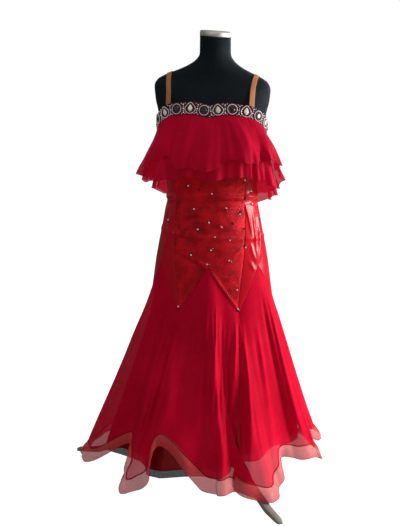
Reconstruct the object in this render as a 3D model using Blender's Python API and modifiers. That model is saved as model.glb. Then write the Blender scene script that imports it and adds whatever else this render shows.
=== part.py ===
"""A ballroom dance dress worn by a limbless dress form on a tripod stand.

Metres, +Z up. The front of the dress looks along -Y and +X is the viewer's right.
A turn is an angle about the pole in degrees, 0 at the front and growing towards +X.
"""

import math

import bmesh
import bpy
import numpy as np

# Cloth and seams
SEAM_GAP = 0.0003
CLOTH = 0.0012
SHEER = 0.0010
BAND_CLOTH = 0.0016
STRAP_CLOTH = 0.0014
EASE = 0.0036  # between the form and the dress
LAY_OVER = 0.0010  # between a panel and what lies on it, whose flats meet it unevenly

# General figure: the sections of the form, and of the dress below it
# Columns: height, half width, front depth, back depth, power of the section's curve
BODY = (
    (1.470, 0.0490, 0.050, 0.050, 2.0),
    (1.402, 0.0500, 0.051, 0.051, 2.0),
    (1.384, 0.0600, 0.054, 0.055, 2.0),
    (1.366, 0.0830, 0.058, 0.060, 2.0),
    (1.350, 0.1150, 0.060, 0.064, 2.1),
    (1.334, 0.1530, 0.064, 0.068, 2.2),
    (1.318, 0.1780, 0.070, 0.073, 2.4),
    (1.298, 0.1870, 0.081, 0.080, 2.6),
    (1.256, 0.1830, 0.099, 0.090, 2.6),
    (1.218, 0.1745, 0.113, 0.095, 2.5),
    (1.170, 0.1705, 0.125, 0.098, 2.4),
    (1.120, 0.1650, 0.127, 0.097, 2.3),
    (1.050, 0.1535, 0.113, 0.091, 2.2),
    (0.960, 0.1440, 0.100, 0.089, 2.2),
    (0.880, 0.1560, 0.108, 0.104, 2.2),
    (0.800, 0.1720, 0.117, 0.121, 2.2),
    (0.730, 0.1850, 0.125, 0.130, 2.2),
    (0.660, 0.1950, 0.133, 0.137, 2.2),
    (0.590, 0.2050, 0.142, 0.146, 2.2),
    (0.530, 0.2140, 0.151, 0.155, 2.2),
)
# The shoulders slope a little down to +X, and the neck's top slopes to +X and forward
LEAN = -0.035
LEAN_FROM, LEAN_TO = 1.14, 1.30
NECK_SLOPE_X, NECK_SLOPE_Y = -0.045, 0.070
NECK_SLOPE_FROM, NECK_SLOPE_TO = 1.400, 1.455
NECK_ASIDE, NECK_ASIDE_FROM, NECK_ASIDE_TO = 0.009, 1.30, 1.40  # the neck stands a little to +X

# Dress form and stand
NECK_TOP = 1.455
FORM_BOTTOM = 0.757
FORM_EDGE = 0.008  # round edge at the form's underside
FORM_AROUND = 36
FORM_SHOULDER, FORM_STEP = 1.29, 0.035  # below the shoulder the sections are this far apart
CAP_RADIUS, CAP_THICK, CAP_BEVEL = 0.0500, 0.017, 0.004
POLE_RADIUS = 0.014
HUB_RADIUS, HUB_LOW, HUB_HIGH = 0.032, 0.058, 0.128
LEG_TURNS = (31.0, 151.0, 271.0)
# Columns: radius, underside, topside, half width
LEG = (
    (0.0323, 0.070, 0.090, 0.015),
    (0.120, 0.064, 0.081, 0.0155),
    (0.220, 0.046, 0.061, 0.0155),
    (0.310, 0.026, 0.040, 0.015),
    (0.380, 0.010, 0.023, 0.0145),
    (0.420, 0.000, 0.0145, 0.014),
    (0.480, 0.000, 0.010, 0.012),
    (0.491, 0.000, 0.007, 0.007),
)

# Neckline: the band's top edge, the same on both sides
NECKLINE = (
    (0, 1.246), (26, 1.255), (50, 1.248), (72, 1.216), (92, 1.180), (125, 1.120), (180, 1.085)
)
BAND_HEIGHT = 0.038
BODICE_BELOW_BAND_TOP = 0.0015

# Band stones: large ones in turn, drops and ovals
STONE_STEP = 0.0445  # from one stone's middle to the next
STONE_RAISE = 0.0042
STONE_REACH_ALONG, STONE_REACH_UP = 0.0125, 0.0145
STONE_COLUMNS = (-0.0126, -0.0096, -0.0050, 0.0050, 0.0096, 0.0126)  # about each stone's middle
BAND_FRONT_ROWS = (0.0, 0.18, 0.50, 0.82, 1.0)
BAND_BACK_ROWS = (0.0, 0.5, 1.0)
BAND_SIDE_TURN = 92.0
BAND_SIDE_GAP = 0.12  # degrees between the front and the back of the band
BAND_BACK_COLUMNS = 28

# Panels: the seams' turns by height, and the zigzag edge over the godets
PRINCESS_SEAM = ((1.26, 44.0), (1.10, 54.0), (0.95, 58.0), (0.82, 56.0), (0.70, 51.0), (0.58, 37.0))
BACK_SEAM = ((1.26, 138.0), (0.95, 132.0), (0.75, 138.0), (0.58, 147.0))
SIDE_SEAM_TURN = 90.0
POINT_TURNS = (-37.0, 37.0, 90.0, 147.0, 213.0, 270.0)
POINT_HEIGHTS = (0.585, 0.585, 0.605, 0.590, 0.590, 0.605)
APEX_TURNS = (0.0, 63.5, 118.5, 180.0, 241.5, 296.5)  # midway between the points
APEX_HEIGHTS = (0.735, 0.730, 0.735, 0.745, 0.735, 0.730)
ZIGZAG_GAP = 0.0007
PANEL_ROWS = (0.0, 0.05, 0.11, 0.17, 0.24, 0.31, 0.39, 0.47, 0.55, 0.63, 0.71, 0.79, 0.86, 0.93, 1.0)
PANEL_COLUMNS = (10, 6, 6, 8, 6, 6)

# Skirt flutes in order round the hem, then the hollow after each
# Columns: turn, reach, width, low, then the hollow's turn, reach and low, then the lining's share
FLUTES = (
    (-78.0, 0.458, 0.120, 0.036, -57.0, 0.330, 0.060, 0.75),
    (-35.5, 0.425, 0.085, 0.034, -24.5, 0.330, 0.180, 0.20),
    (8.5, 0.372, 0.115, 0.026, 20.5, 0.292, 0.075, 0.30),
    (33.0, 0.404, 0.138, 0.044, 57.0, 0.303, 0.062, 0.40),
    (74.0, 0.402, 0.120, 0.034, 93.0, 0.318, 0.062, 0.50),
    (110.0, 0.415, 0.115, 0.038, 127.0, 0.312, 0.066, 0.50),
    (145.0, 0.405, 0.120, 0.036, 161.0, 0.305, 0.060, 0.45),
    (178.0, 0.412, 0.125, 0.040, 195.0, 0.312, 0.070, 0.50),
    (213.0, 0.402, 0.115, 0.036, 229.0, 0.308, 0.062, 0.45),
    (245.0, 0.410, 0.115, 0.040, 262.0, 0.325, 0.072, 0.50),
)
BRAID_WIDTH = 0.048
BRAID_KICK = 0.026  # how far the braid stands out past its seam
SHOULDER_BACK = 0.40  # of a flute's width, from its tip back to its sides
HEM_STEPS = 8  # of each half gore
SKIRT_ROWS = (0.0, 0.07, 0.18, 0.35, 0.57, 0.80, 1.0)
SKIRT_HANG = 1.06  # over 1 the cloth falls steeper at the hips and stands out at the hem

# Lining: it follows the panels, then falls to its own hem
LINING_HOLDS = ((0.748, 0.0014), (0.660, 0.0040), (0.575, 0.0065))  # height, clear of the panels
LINING_HEM = 0.046
LINING_BRAID = 0.025
LINING_INSIDE = 0.036
LINING_AROUND = 56
LINING_ROWS = (0.0, 0.2, 0.55, 1.0)

# Frill: two gathered layers under the band
FRILL_AROUND = 66
FRILL_ROWS = (0.0, 0.12, 0.42, 0.74, 1.0)
# Length, waves round it, their depth, where they start, and how much more its hem stands out
UPPER_FRILL = (0.150, 12, 0.010, 1.3, 0.010)
LOWER_FRILL = (0.190, 13, 0.009, 0.4, -0.006)
FRILL_BELOW = 0.0012  # its top edge under the band
FRILL_BETWEEN = 0.0008  # between the two layers where they are sewn in
FRILL_FLARE = ((0.0, 0.0), (0.25, 0.012), (0.6, 0.030), (1.0, 0.046))
SLOW_SWING = 0.45  # of a slower wave of half as many
FRILL_LIFT = 0.006
FRILL_HANG = 0.9  # how far it hangs plumb where the figure narrows under it

# Straps
STRAP_WIDTH = 0.015
STRAP_FRONT_X, STRAP_TOP_X, STRAP_BACK_X = 0.128, 0.141, 0.105
STRAP_STEPS = 13
STRAP_REST = 0.0006  # between the strap and the form's shoulder
STRAP_FOOT = 0.0015  # its ends above the band's top edge

COLLECTION = "ballroom_dress_on_form"


def smooth_step(value, start, end):
    """0 before start and 1 after end, with soft ends."""
    share = np.clip((np.asarray(value, float) - start) / (end - start), 0.0, 1.0)
    return share * share * (3.0 - 2.0 * share)


def through(xs, ys, x):
    """A smooth curve through points that never swings past them, read at x."""
    xs, ys = np.asarray(xs, float), np.asarray(ys, float)
    if xs[0] > xs[-1]:
        xs, ys = xs[::-1], ys[::-1]
    x = np.clip(np.asarray(x, float), xs[0], xs[-1])
    run = np.diff(xs)
    rise = np.diff(ys) / run
    slope = np.zeros_like(ys)
    for i in range(1, len(xs) - 1):
        if rise[i - 1] * rise[i] > 0:
            w1, w2 = 2 * run[i] + run[i - 1], run[i] + 2 * run[i - 1]
            slope[i] = (w1 + w2) / (w1 / rise[i - 1] + w2 / rise[i])
    slope[0], slope[-1] = rise[0], rise[-1]
    i = np.clip(np.searchsorted(xs, x) - 1, 0, len(xs) - 2)
    s = (x - xs[i]) / run[i]
    keep, lead = (1 + 2 * s) * (1 - s) ** 2, s * (1 - s) ** 2
    return (
        keep * ys[i]
        + lead * run[i] * slope[i]
        + s * s * (3 - 2 * s) * ys[i + 1]
        - s * s * (1 - s) * run[i] * slope[i + 1]
    )


def column(table, index):
    """One column of a table of rows."""
    return np.array([row[index] for row in table], float)


def lifted(x, y, z):
    """The point with the slopes of the shoulders and of the neck's top."""
    z = np.asarray(z, float)
    lean = LEAN * smooth_step(z, LEAN_FROM, LEAN_TO)
    neck = smooth_step(z, NECK_SLOPE_FROM, NECK_SLOPE_TO)
    rise = (lean + NECK_SLOPE_X * neck) * x + NECK_SLOPE_Y * neck * y
    aside = NECK_ASIDE * smooth_step(z, NECK_ASIDE_FROM, NECK_ASIDE_TO)
    return np.stack(np.broadcast_arrays(x + aside, y, z + rise), axis=-1)


def section(z):
    """Half width, front depth, back depth and power of the figure at a height."""
    heights = column(BODY, 0)
    return [through(heights, column(BODY, k), z) for k in range(1, len(BODY[0]))]


def figure(turn, z, out=0.0):
    """The figure's surface at a turn and a height, moved out level by out."""
    turn, z = np.broadcast_arrays(np.radians(turn), np.asarray(z, float))
    half, front, back, power = section(z)
    depth = np.where(np.cos(turn) > 0, front, back)
    across, ahead = np.abs(np.sin(turn) / half), np.abs(np.cos(turn) / depth)
    reach = (across**power + ahead**power) ** (-1 / power)
    return lifted((reach + out) * np.sin(turn), -(reach + out) * np.cos(turn), z)


def neckline(turn):
    """Height of the band's top edge."""
    away = np.abs((np.asarray(turn, float) + 180.0) % 360.0 - 180.0)
    return through(column(NECKLINE, 0), column(NECKLINE, 1), away)


def grid_normals(grid, closed):
    """Unit normals of a grid of points, rows down the cloth and columns towards +X in front."""
    if closed:
        wide = np.concatenate([grid[:, -1:], grid, grid[:, :1]], axis=1)
        across = (wide[:, 2:] - wide[:, :-2]) / 2
    else:
        across = np.gradient(grid, axis=1)
    down = np.gradient(grid, axis=0)
    normal = np.cross(down, across)
    return normal / np.linalg.norm(normal, axis=-1, keepdims=True)


def wall(name, outer, inner, closed, material):
    """A closed cloth wall between two grids of points, both split along the same diagonals."""
    rows, columns = outer.shape[:2]
    bm = bmesh.new()
    sides = [[[bm.verts.new(p) for p in row] for row in grid] for grid in (outer, inner)]
    last = columns if closed else columns - 1
    for r in range(rows - 1):
        for c in range(last):
            d = (c + 1) % columns
            falling = np.linalg.norm(outer[r][c] - outer[r + 1][d])
            rising = np.linalg.norm(outer[r + 1][c] - outer[r][d])
            for grid, flip in zip(sides, (False, True)):
                a, b, e, f = grid[r][c], grid[r + 1][c], grid[r + 1][d], grid[r][d]
                split = ((a, b, e), (a, e, f)) if falling <= rising else ((a, b, f), (b, e, f))
                for corners in split:
                    bm.faces.new(corners[::-1] if flip else corners)
    for r, flip in ((0, False), (rows - 1, True)):
        for c in range(last):
            d = (c + 1) % columns
            corners = [sides[0][r][c], sides[0][r][d], sides[1][r][d], sides[1][r][c]]
            bm.faces.new(corners[::-1] if flip else corners)
    if not closed:
        for c, flip in ((0, True), (columns - 1, False)):
            for r in range(rows - 1):
                corners = [sides[0][r][c], sides[0][r + 1][c], sides[1][r + 1][c], sides[1][r][c]]
                bm.faces.new(corners[::-1] if flip else corners)
    return add_mesh(name, bm, material)


def cloth(name, grid, thickness, closed, material, normals=None):
    """A wall of even thickness about a grid of middle points."""
    if normals is None:
        normals = grid_normals(grid, closed)
    half = normals * thickness / 2
    return wall(name, grid + half, grid - half, closed, material)


def add_mesh(name, bm, material):
    """A named object of the part's collection from a bmesh."""
    mesh = bpy.data.meshes.new(name)
    bm.to_mesh(mesh)
    bm.free()
    mesh.shade_smooth()
    mesh.set_sharp_from_angle(angle=math.radians(40))
    piece = bpy.data.objects.new(name, mesh)
    return adopt(piece, name, material)


def adopt(piece, name, material):
    """Puts a piece in the part's collection, under the frame, with its material."""
    for held in list(piece.users_collection):
        held.objects.unlink(piece)
    piece.name = name
    bpy.data.collections[COLLECTION].objects.link(piece)
    piece.data.materials.clear()
    piece.data.materials.append(material)
    return piece


def finish(name, colour, roughness, metallic=0.0):
    """A plain Principled material."""
    material = bpy.data.materials.new(name)
    material.use_nodes = True
    shader = material.node_tree.nodes["Principled BSDF"]
    shader.inputs["Base Color"].default_value = (*colour, 1.0)
    shader.inputs["Roughness"].default_value = roughness
    shader.inputs["Metallic"].default_value = metallic
    return material


def build_form(dark, steel):
    """The form's body, smooth and whole, and the bevelled disc on its neck."""
    shoulder = [h for h in column(BODY, 0) if FORM_SHOULDER < h < NECK_TOP]
    torso = np.arange(FORM_SHOULDER - FORM_STEP, FORM_BOTTOM + 2 * FORM_EDGE, -FORM_STEP)
    heights = [NECK_TOP, *shoulder, *torso, FORM_BOTTOM + FORM_EDGE]
    spin = np.radians(np.arange(FORM_AROUND) * 360.0 / FORM_AROUND)
    rows = []
    for z in heights:
        half, front, back, power = section(z)
        depth = np.where(np.cos(spin) > 0, front, back)
        x = half * np.sign(np.sin(spin)) * np.abs(np.sin(spin)) ** (2 / power)
        y = -depth * np.sign(np.cos(spin)) * np.abs(np.cos(spin)) ** (2 / power)
        rows.append(lifted(x, y, z))
    for share in (0.35, 1.0):
        low = rows[len(heights) - 1].copy()
        away = low[:, :2] / np.linalg.norm(low[:, :2], axis=1, keepdims=True)
        low[:, :2] -= away * FORM_EDGE * (1 - math.sqrt(1 - share**2))
        low[:, 2] -= FORM_EDGE * share
        rows.append(low)
    bm = bmesh.new()
    rings = [[bm.verts.new(p) for p in row] for row in rows]
    for upper, lower in zip(rings[:-1], rings[1:]):
        for c in range(FORM_AROUND):
            d = (c + 1) % FORM_AROUND
            bm.faces.new([upper[c], lower[c], lower[d], upper[d]])
    bm.faces.new(rings[0])
    bm.faces.new(rings[-1][::-1])
    bmesh.ops.recalc_face_normals(bm, faces=bm.faces)
    add_mesh("form_body", bm, dark)

    bpy.ops.mesh.primitive_cylinder_add(vertices=28, radius=CAP_RADIUS, depth=CAP_THICK)
    cap = adopt(bpy.context.object, "neck_cap", steel)
    slope_x, slope_y = LEAN + NECK_SLOPE_X, NECK_SLOPE_Y
    lift = SEAM_GAP + CAP_THICK / 2
    up = np.array([-slope_x, -slope_y, 1.0]) / math.sqrt(slope_x**2 + slope_y**2 + 1)
    cap.rotation_euler = (math.atan2(-up[1], up[2]), math.asin(up[0]), 0.0)
    cap.location = (NECK_ASIDE + up[0] * lift, up[1] * lift, NECK_TOP + up[2] * lift)
    bevel = cap.modifiers.new("edge", "BEVEL")
    bevel.width = CAP_BEVEL
    bevel.segments = 2
    bevel.limit_method = "ANGLE"
    cap.data.shade_smooth()
    cap.data.set_sharp_from_angle(angle=math.radians(40))


def build_stand(steel, grey):
    """Pole, hub and three arched legs whose ends rest flat on the floor."""
    length = FORM_BOTTOM - SEAM_GAP - HUB_HIGH - SEAM_GAP
    bpy.ops.mesh.primitive_cylinder_add(vertices=20, radius=POLE_RADIUS, depth=length)
    pole = adopt(bpy.context.object, "stand_pole", steel)
    pole.location = (0, 0, HUB_HIGH + SEAM_GAP + length / 2)
    pole.data.shade_smooth()
    pole.data.set_sharp_from_angle(angle=math.radians(40))

    bpy.ops.mesh.primitive_cylinder_add(vertices=20, radius=HUB_RADIUS, depth=HUB_HIGH - HUB_LOW)
    hub = adopt(bpy.context.object, "stand_hub", grey)
    hub.location = (0, 0, (HUB_HIGH + HUB_LOW) / 2)
    bevel = hub.modifiers.new("edge", "BEVEL")
    bevel.width = 0.004
    bevel.segments = 2
    bevel.limit_method = "ANGLE"
    hub.data.shade_smooth()
    hub.data.set_sharp_from_angle(angle=math.radians(40))

    for number, turn in enumerate(LEG_TURNS, start=1):
        out = np.array([math.sin(math.radians(turn)), -math.cos(math.radians(turn)), 0.0])
        side = np.array([-out[1], out[0], 0.0])
        bm = bmesh.new()
        rings = []
        for radius, low, high, half in LEG:
            crown = min(0.3 * (high - low), 0.004)
            profile = ((-half, low), (half, low), (half, high - crown), (half * 0.6, high),
                       (-half * 0.6, high), (-half, high - crown))
            rings.append([bm.verts.new(out * radius + side * s + np.array([0, 0, z])) for s, z in profile])
        for near, far in zip(rings[:-1], rings[1:]):
            for c in range(len(near)):
                d = (c + 1) % len(near)
                bm.faces.new([near[c], near[d], far[d], far[c]])
        bm.faces.new(rings[0][::-1])
        bm.faces.new(rings[-1])
        bmesh.ops.recalc_face_normals(bm, faces=bm.faces)
        add_mesh(f"stand_leg_{number}", bm, grey)


def seam_turn(table, hand, z):
    """Turn of a bodice seam at a height, on the hand +1 or -1."""
    return hand * float(through(column(table, 0), column(table, 1), z))


def zigzag(turn):
    """Height of the lower edge of the panels."""
    turns, heights = [], []
    for k in range(len(POINT_TURNS)):
        turns += [POINT_TURNS[k], APEX_TURNS[k]]
        heights += [POINT_HEIGHTS[k], APEX_HEIGHTS[k]]
    turns.append(POINT_TURNS[0] + 360.0)
    heights.append(POINT_HEIGHTS[0])
    around = (np.asarray(turn, float) - POINT_TURNS[0]) % 360.0 + POINT_TURNS[0]
    return np.interp(around, turns, heights)


def panel_grid(left, right, columns, out):
    """Points of one panel between two seams, each a function of height."""
    half_gap = SEAM_GAP / 2
    grid = []
    for c in range(columns + 1):
        share = c / columns
        foot = left(0.0) + share * (right(0.0) - left(0.0))
        low = float(zigzag(foot))
        line = []
        for down in PANEL_ROWS:
            turn = foot
            for _ in range(3):
                top = float(neckline(turn)) - BODICE_BELOW_BAND_TOP
                z = top + (low - top) * down
                between = left(z) + share * (right(z) - left(z))
                turn = between + (foot - between) * down**3
            line.append(figure(turn, z, out))
        grid.append(line)
    grid = np.array(grid).transpose(1, 0, 2)
    across = grid[:, -1] - grid[:, -2]
    grid[:, -1] -= across / np.linalg.norm(across, axis=1, keepdims=True) * half_gap
    across = grid[:, 1] - grid[:, 0]
    grid[:, 0] += across / np.linalg.norm(across, axis=1, keepdims=True) * half_gap
    return grid


def build_bodice(glitter, satin):
    """Six long panels from the neckline to the points over the skirt."""
    out = EASE + CLOTH / 2

    def princess(hand):
        return lambda z: seam_turn(PRINCESS_SEAM, hand, z)

    def side(hand, lap=0.0):
        return lambda z: lap + hand * SIDE_SEAM_TURN

    def back(hand):
        return lambda z: (0.0 if hand > 0 else 360.0) + seam_turn(BACK_SEAM, hand, z)

    panels = (
        ("panel_front", princess(-1), princess(1), glitter),
        ("panel_side_front_right", princess(1), side(1), satin),
        ("panel_side_back_right", side(1), back(1), satin),
        ("panel_back", back(1), back(-1), satin),
        ("panel_side_back_left", back(-1), side(-1, 360.0), satin),
        ("panel_side_front_left", side(-1), princess(-1), satin),
    )
    for (name, left, right, material), columns in zip(panels, PANEL_COLUMNS):
        cloth(name, panel_grid(left, right, columns, out), CLOTH, False, material)


def band_grid(turns, shares, out):
    """Points of the band at some turns and shares of its height down from its top."""
    down = np.asarray(shares)[:, None] * BAND_HEIGHT
    return figure(turns[None, :], neckline(turns)[None, :] - down, out)


def stone_columns(out):
    """Turns of the front band's columns, and how far each lies along from a stone's middle."""
    fine = np.linspace(-BAND_SIDE_TURN, BAND_SIDE_TURN, 369)
    line = band_grid(fine, (0.5,), out)[0]
    along = np.concatenate([[0.0], np.cumsum(np.linalg.norm(np.diff(line, axis=0), axis=1))])
    along -= along[-1] / 2
    middles = (np.arange(-6, 6) + 0.5) * STONE_STEP
    stops = (middles[:, None] + np.array(STONE_COLUMNS)[None, :]).ravel()
    stops = stops[np.abs(stops) < along[-1] - STONE_COLUMNS[-1] / 4]
    places = np.concatenate([[along[0]], stops, [along[-1]]])
    return np.interp(places, along, fine), (places % STONE_STEP) - STONE_STEP / 2


def build_band(dark_red):
    """The jewelled band, its large stones raised in the outer points."""
    out = EASE + CLOTH + LAY_OVER + BAND_CLOTH / 2
    turns, off = stone_columns(out)
    front = band_grid(turns, BAND_FRONT_ROWS, out)
    lean = grid_normals(front, False)
    up = (0.5 - np.array(BAND_FRONT_ROWS))[:, None] * BAND_HEIGHT
    near = (off[None, :] / STONE_REACH_ALONG) ** 2 + (up / STONE_REACH_UP) ** 2
    raised = np.sqrt(np.clip(1.0 - near, 0.0, 1.0)) * STONE_RAISE
    outer = front + lean * (BAND_CLOTH / 2 + raised[..., None])
    wall("band_front", outer, front - lean * BAND_CLOTH / 2, False, dark_red)

    side = BAND_SIDE_TURN + BAND_SIDE_GAP
    back = band_grid(np.linspace(side, 360.0 - side, BAND_BACK_COLUMNS + 1), BAND_BACK_ROWS, out)
    cloth("band_back", back, BAND_CLOTH, False, dark_red)


def frill_grid(out, length, waves, depth, phase, extra_flare):
    """Points of one frill layer from under the band to its hem."""
    turns = np.arange(FRILL_AROUND) * 360.0 / FRILL_AROUND
    top = neckline(turns) - BAND_HEIGHT - FRILL_BELOW
    grid = []
    for share in FRILL_ROWS:
        z = top - length * share
        swing = np.sin(np.radians(turns * waves) + phase)
        swing += SLOW_SWING * np.sin(np.radians(turns * (waves // 2)) + 2 * phase)
        flare = float(through(column(FRILL_FLARE, 0), column(FRILL_FLARE, 1), share)) + extra_flare * share
        hold = np.array([section(t)[0] - section(s)[0] for t, s in zip(top, z)])
        reach = out + flare + np.maximum(hold, 0.0) * FRILL_HANG + depth * share * swing
        lift = FRILL_LIFT * share * np.cos(np.radians(turns * waves) + phase)
        grid.append(figure(turns, z + lift, reach))
    return np.array(grid)


def build_frill(chiffon):
    """Two gathered chiffon layers that hang from under the band."""
    lower_out = EASE + CLOTH + LAY_OVER + SHEER / 2
    upper_out = lower_out + SHEER + FRILL_BETWEEN
    lower = frill_grid(lower_out, *LOWER_FRILL)
    upper = frill_grid(upper_out, *UPPER_FRILL)
    cloth("frill_lower", lower, SHEER, True, chiffon)
    cloth("frill_upper", upper, SHEER, True, chiffon)


def closed_curve(points, count, starts):
    """A smooth closed curve read at positions counted in points."""
    points = np.asarray(points, float)
    at = np.asarray(starts, float) % count
    i = np.floor(at).astype(int)
    s = (at - i)[:, None]
    p0, p1, p2, p3 = (points[(i + k) % count] for k in (-1, 0, 1, 2))
    return 0.5 * (
        2 * p1 + (p2 - p0) * s + (2 * p0 - 5 * p1 + 4 * p2 - p3) * s**2 + (3 * p1 - p0 - 3 * p2 + p3) * s**3
    )


def flute_points(inset, rise, lining=False):
    """Hem points, four a flute: first side, tip, second side and the hollow."""
    points = []
    for turn, reach, width, low, hollow_turn, hollow_reach, hollow_low, share in FLUTES:
        hollow = hollow_reach - 0.3 * inset
        tip = reach - inset
        if lining:
            hollow = hollow_reach - LINING_INSIDE
            tip = hollow + share * (reach - BRAID_KICK - 0.03 - hollow)
            low = hollow_low = LINING_HEM
            width = 0.62 * width
        ahead = math.radians(turn)
        out = np.array([math.sin(ahead), -math.cos(ahead)])
        side = np.array([math.cos(ahead), math.sin(ahead)])
        wide = width / 2 - 0.6 * inset
        back = SHOULDER_BACK * width * (tip - hollow) / (reach - hollow_reach)
        for step in (-1, 0, 1):
            place = out * (tip - abs(step) * back) + side * step * wide
            height = low + abs(step) * 0.3 * (hollow_low - low)
            points.append((*place, height + rise))
        ahead = math.radians(hollow_turn)
        points.append((hollow * math.sin(ahead), -hollow * math.cos(ahead), hollow_low + rise))
    return np.array(points)


def top_turns():
    """Turn on the hips above each hem point, always growing."""
    turns = []
    for turn, _, _, _, hollow_turn, _, _, _ in FLUTES:
        before = turns[-1] if turns else FLUTES[-1][4] - 360.0
        turns += [turn - 0.38 * (turn - before), turn, turn + 0.38 * (hollow_turn - turn), hollow_turn]
    return np.array(turns)


def hem_positions():
    """Positions along the hem whose columns meet every point and apex of the zigzag."""
    turns = top_turns()
    count = len(turns)
    wrapped = np.concatenate([turns, [turns[0] + 360.0]])
    kinks = []
    for k in range(len(POINT_TURNS)):
        kinks += [POINT_TURNS[k], APEX_TURNS[k]]
    kinks.append(POINT_TURNS[0] + 360.0)
    marks = []
    for kink in kinks:
        shifted = kink
        extra = 0
        while shifted >= wrapped[-1]:
            shifted -= 360.0
            extra += count
        while shifted < wrapped[0]:
            shifted += 360.0
            extra -= count
        marks.append(float(np.interp(shifted, wrapped, np.arange(count + 1))) + extra)
    places = []
    for first, last in zip(marks[:-1], marks[1:]):
        places += list(first + (last - first) * np.arange(HEM_STEPS) / HEM_STEPS)
    return np.array(places)


def turn_at(places):
    """Turn on the hips of the columns at positions along the hem."""
    turns = top_turns()
    count = len(turns)
    laps = np.floor(np.asarray(places) / count)
    wrapped = np.concatenate([turns, [turns[0] + 360.0]])
    return np.interp(np.asarray(places) - laps * count, np.arange(count + 1), wrapped) + 360.0 * laps


def hanging(top, foot, shares):
    """Rows of points from a top edge to a foot, steeper at the top."""
    rows = []
    for share in shares:
        out = share**SKIRT_HANG
        rows.append(top + (foot - top) * np.array([out, out, share]))
    return np.array(rows)


def skirt_grid(places):
    """Points of the outer skirt from the zigzag to the braid's seam."""
    turns = turn_at(places)
    rise = math.sqrt(BRAID_WIDTH**2 - BRAID_KICK**2)
    seam = closed_curve(flute_points(BRAID_KICK, rise), 4 * len(FLUTES), places)
    top = figure(turns, zigzag(turns) - ZIGZAG_GAP, EASE + CLOTH / 2)
    return hanging(top, seam, SKIRT_ROWS)


def build_skirt(chiffon, braid):
    """Six chiffon gores under the zigzag, and the stiff braid round their hem."""
    places = hem_positions()
    grid = skirt_grid(places)
    normals = grid_normals(grid, True)
    flat = grid[0] * np.array([1.0, 1.0, 0.0])
    normals[0] = flat / np.linalg.norm(flat, axis=1, keepdims=True)
    names = ("front", "right_front", "right_back", "back", "left_back", "left_front")
    gore = 2 * HEM_STEPS
    for k, name in enumerate(names):
        pick = np.arange(k * gore, (k + 1) * gore + 1) % len(places)
        own, lean = grid[:, pick].copy(), normals[:, pick]
        for edge, inner in ((0, 1), (-1, -2)):
            inward = own[:, inner] - own[:, edge]
            own[:, edge] += inward / np.linalg.norm(inward, axis=1, keepdims=True) * SEAM_GAP / 2
        cloth(f"gore_{name}", own, CLOTH, False, chiffon, lean)

    rise = math.sqrt(BRAID_WIDTH**2 - BRAID_KICK**2)
    hem = closed_curve(flute_points(0.0, 0.0), 4 * len(FLUTES), places)
    seam = closed_curve(flute_points(BRAID_KICK, rise), 4 * len(FLUTES), places)
    start = seam + (hem - seam) * 0.02
    rows = np.array([start, (start + hem) / 2, hem])
    cloth("hem_braid", rows, SHEER, True, braid)


def build_lining(satin, braid):
    """The satin lining inside the skirt, with its own narrow braid."""
    count = 4 * len(FLUTES)
    places = np.arange(LINING_AROUND) * count / LINING_AROUND
    turns = turn_at(places)
    out = EASE - CLOTH / 2
    seam = closed_curve(flute_points(0.0, LINING_BRAID, lining=True), count, places)
    held = np.array([figure(turns, z, out - clear) for z, clear in LINING_HOLDS])
    grid = np.concatenate([held[:-1], hanging(held[-1], seam, LINING_ROWS)])
    normals = grid_normals(grid, True)
    cloth("lining", grid, CLOTH, True, satin, normals)
    hem = closed_curve(flute_points(0.0, 0.0, lining=True), count, places)
    start = seam + (hem - seam) * 0.03
    cloth("lining_braid", np.array([start, hem]), CLOTH, True, braid)


def shoulder_height(x):
    """Height where the figure is as wide as x, on the shoulder."""
    heights = np.linspace(1.29, 1.40, 221)
    return float(np.interp(-x, -section(heights)[0], heights))


def figure_at_x(x, z, front):
    """Point of the figure's front or back at a sideways place and a height."""
    half, fore, aft, power = (float(v) for v in section(z))
    reach = max(0.0, 1.0 - (x / half) ** power) ** (1 / power)
    return np.array([x, -(fore * reach) if front else aft * reach, z])


def band_top_at_x(x, front):
    """Height of the band's top edge at a sideways place."""
    height = 1.2 if front else 1.12
    for _ in range(4):
        place = figure_at_x(x, height, front)
        height = float(neckline(math.degrees(math.atan2(place[0], -place[1]))))
    return height


def build_straps(elastic):
    """Two flat straps from the front of the band over the shoulders to its back."""
    band_middle = EASE + CLOTH + LAY_OVER + BAND_CLOTH / 2
    rest = STRAP_REST + STRAP_CLOTH / 2
    for name, side in (("strap_left", -1), ("strap_right", 1)):
        grid, gaps = [], []
        for edge in (0.5, -0.5):
            line = []
            for step in range(2 * STRAP_STEPS + 1):
                front = step <= STRAP_STEPS
                share = (step if front else 2 * STRAP_STEPS - step) / STRAP_STEPS
                ease = math.sin(share * math.pi / 2)
                end_x = STRAP_FRONT_X if front else STRAP_BACK_X
                x = end_x + (STRAP_TOP_X - end_x) * share + side * edge * STRAP_WIDTH
                crest = shoulder_height(x)
                foot = band_top_at_x(end_x + side * edge * STRAP_WIDTH, front) + STRAP_FOOT
                z = foot + (crest - foot) * ease
                line.append(figure_at_x(x, z, front))
                if edge > 0:
                    gaps.append(band_middle + (rest - band_middle) * float(smooth_step(share, 0.0, 0.35)))
            grid.append(line)
        grid = np.array(grid).transpose(1, 0, 2)
        grid[..., 0] *= side
        grid = lifted(grid[..., 0], grid[..., 1], grid[..., 2])
        normals = grid_normals(grid, False)
        middle = grid + normals * np.array(gaps)[:, None, None]
        cloth(name, middle, STRAP_CLOTH, False, elastic, normals)


def clear_scene():
    """Removes what the scene holds."""
    for held in list(bpy.data.objects):
        bpy.data.objects.remove(held, do_unlink=True)


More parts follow.
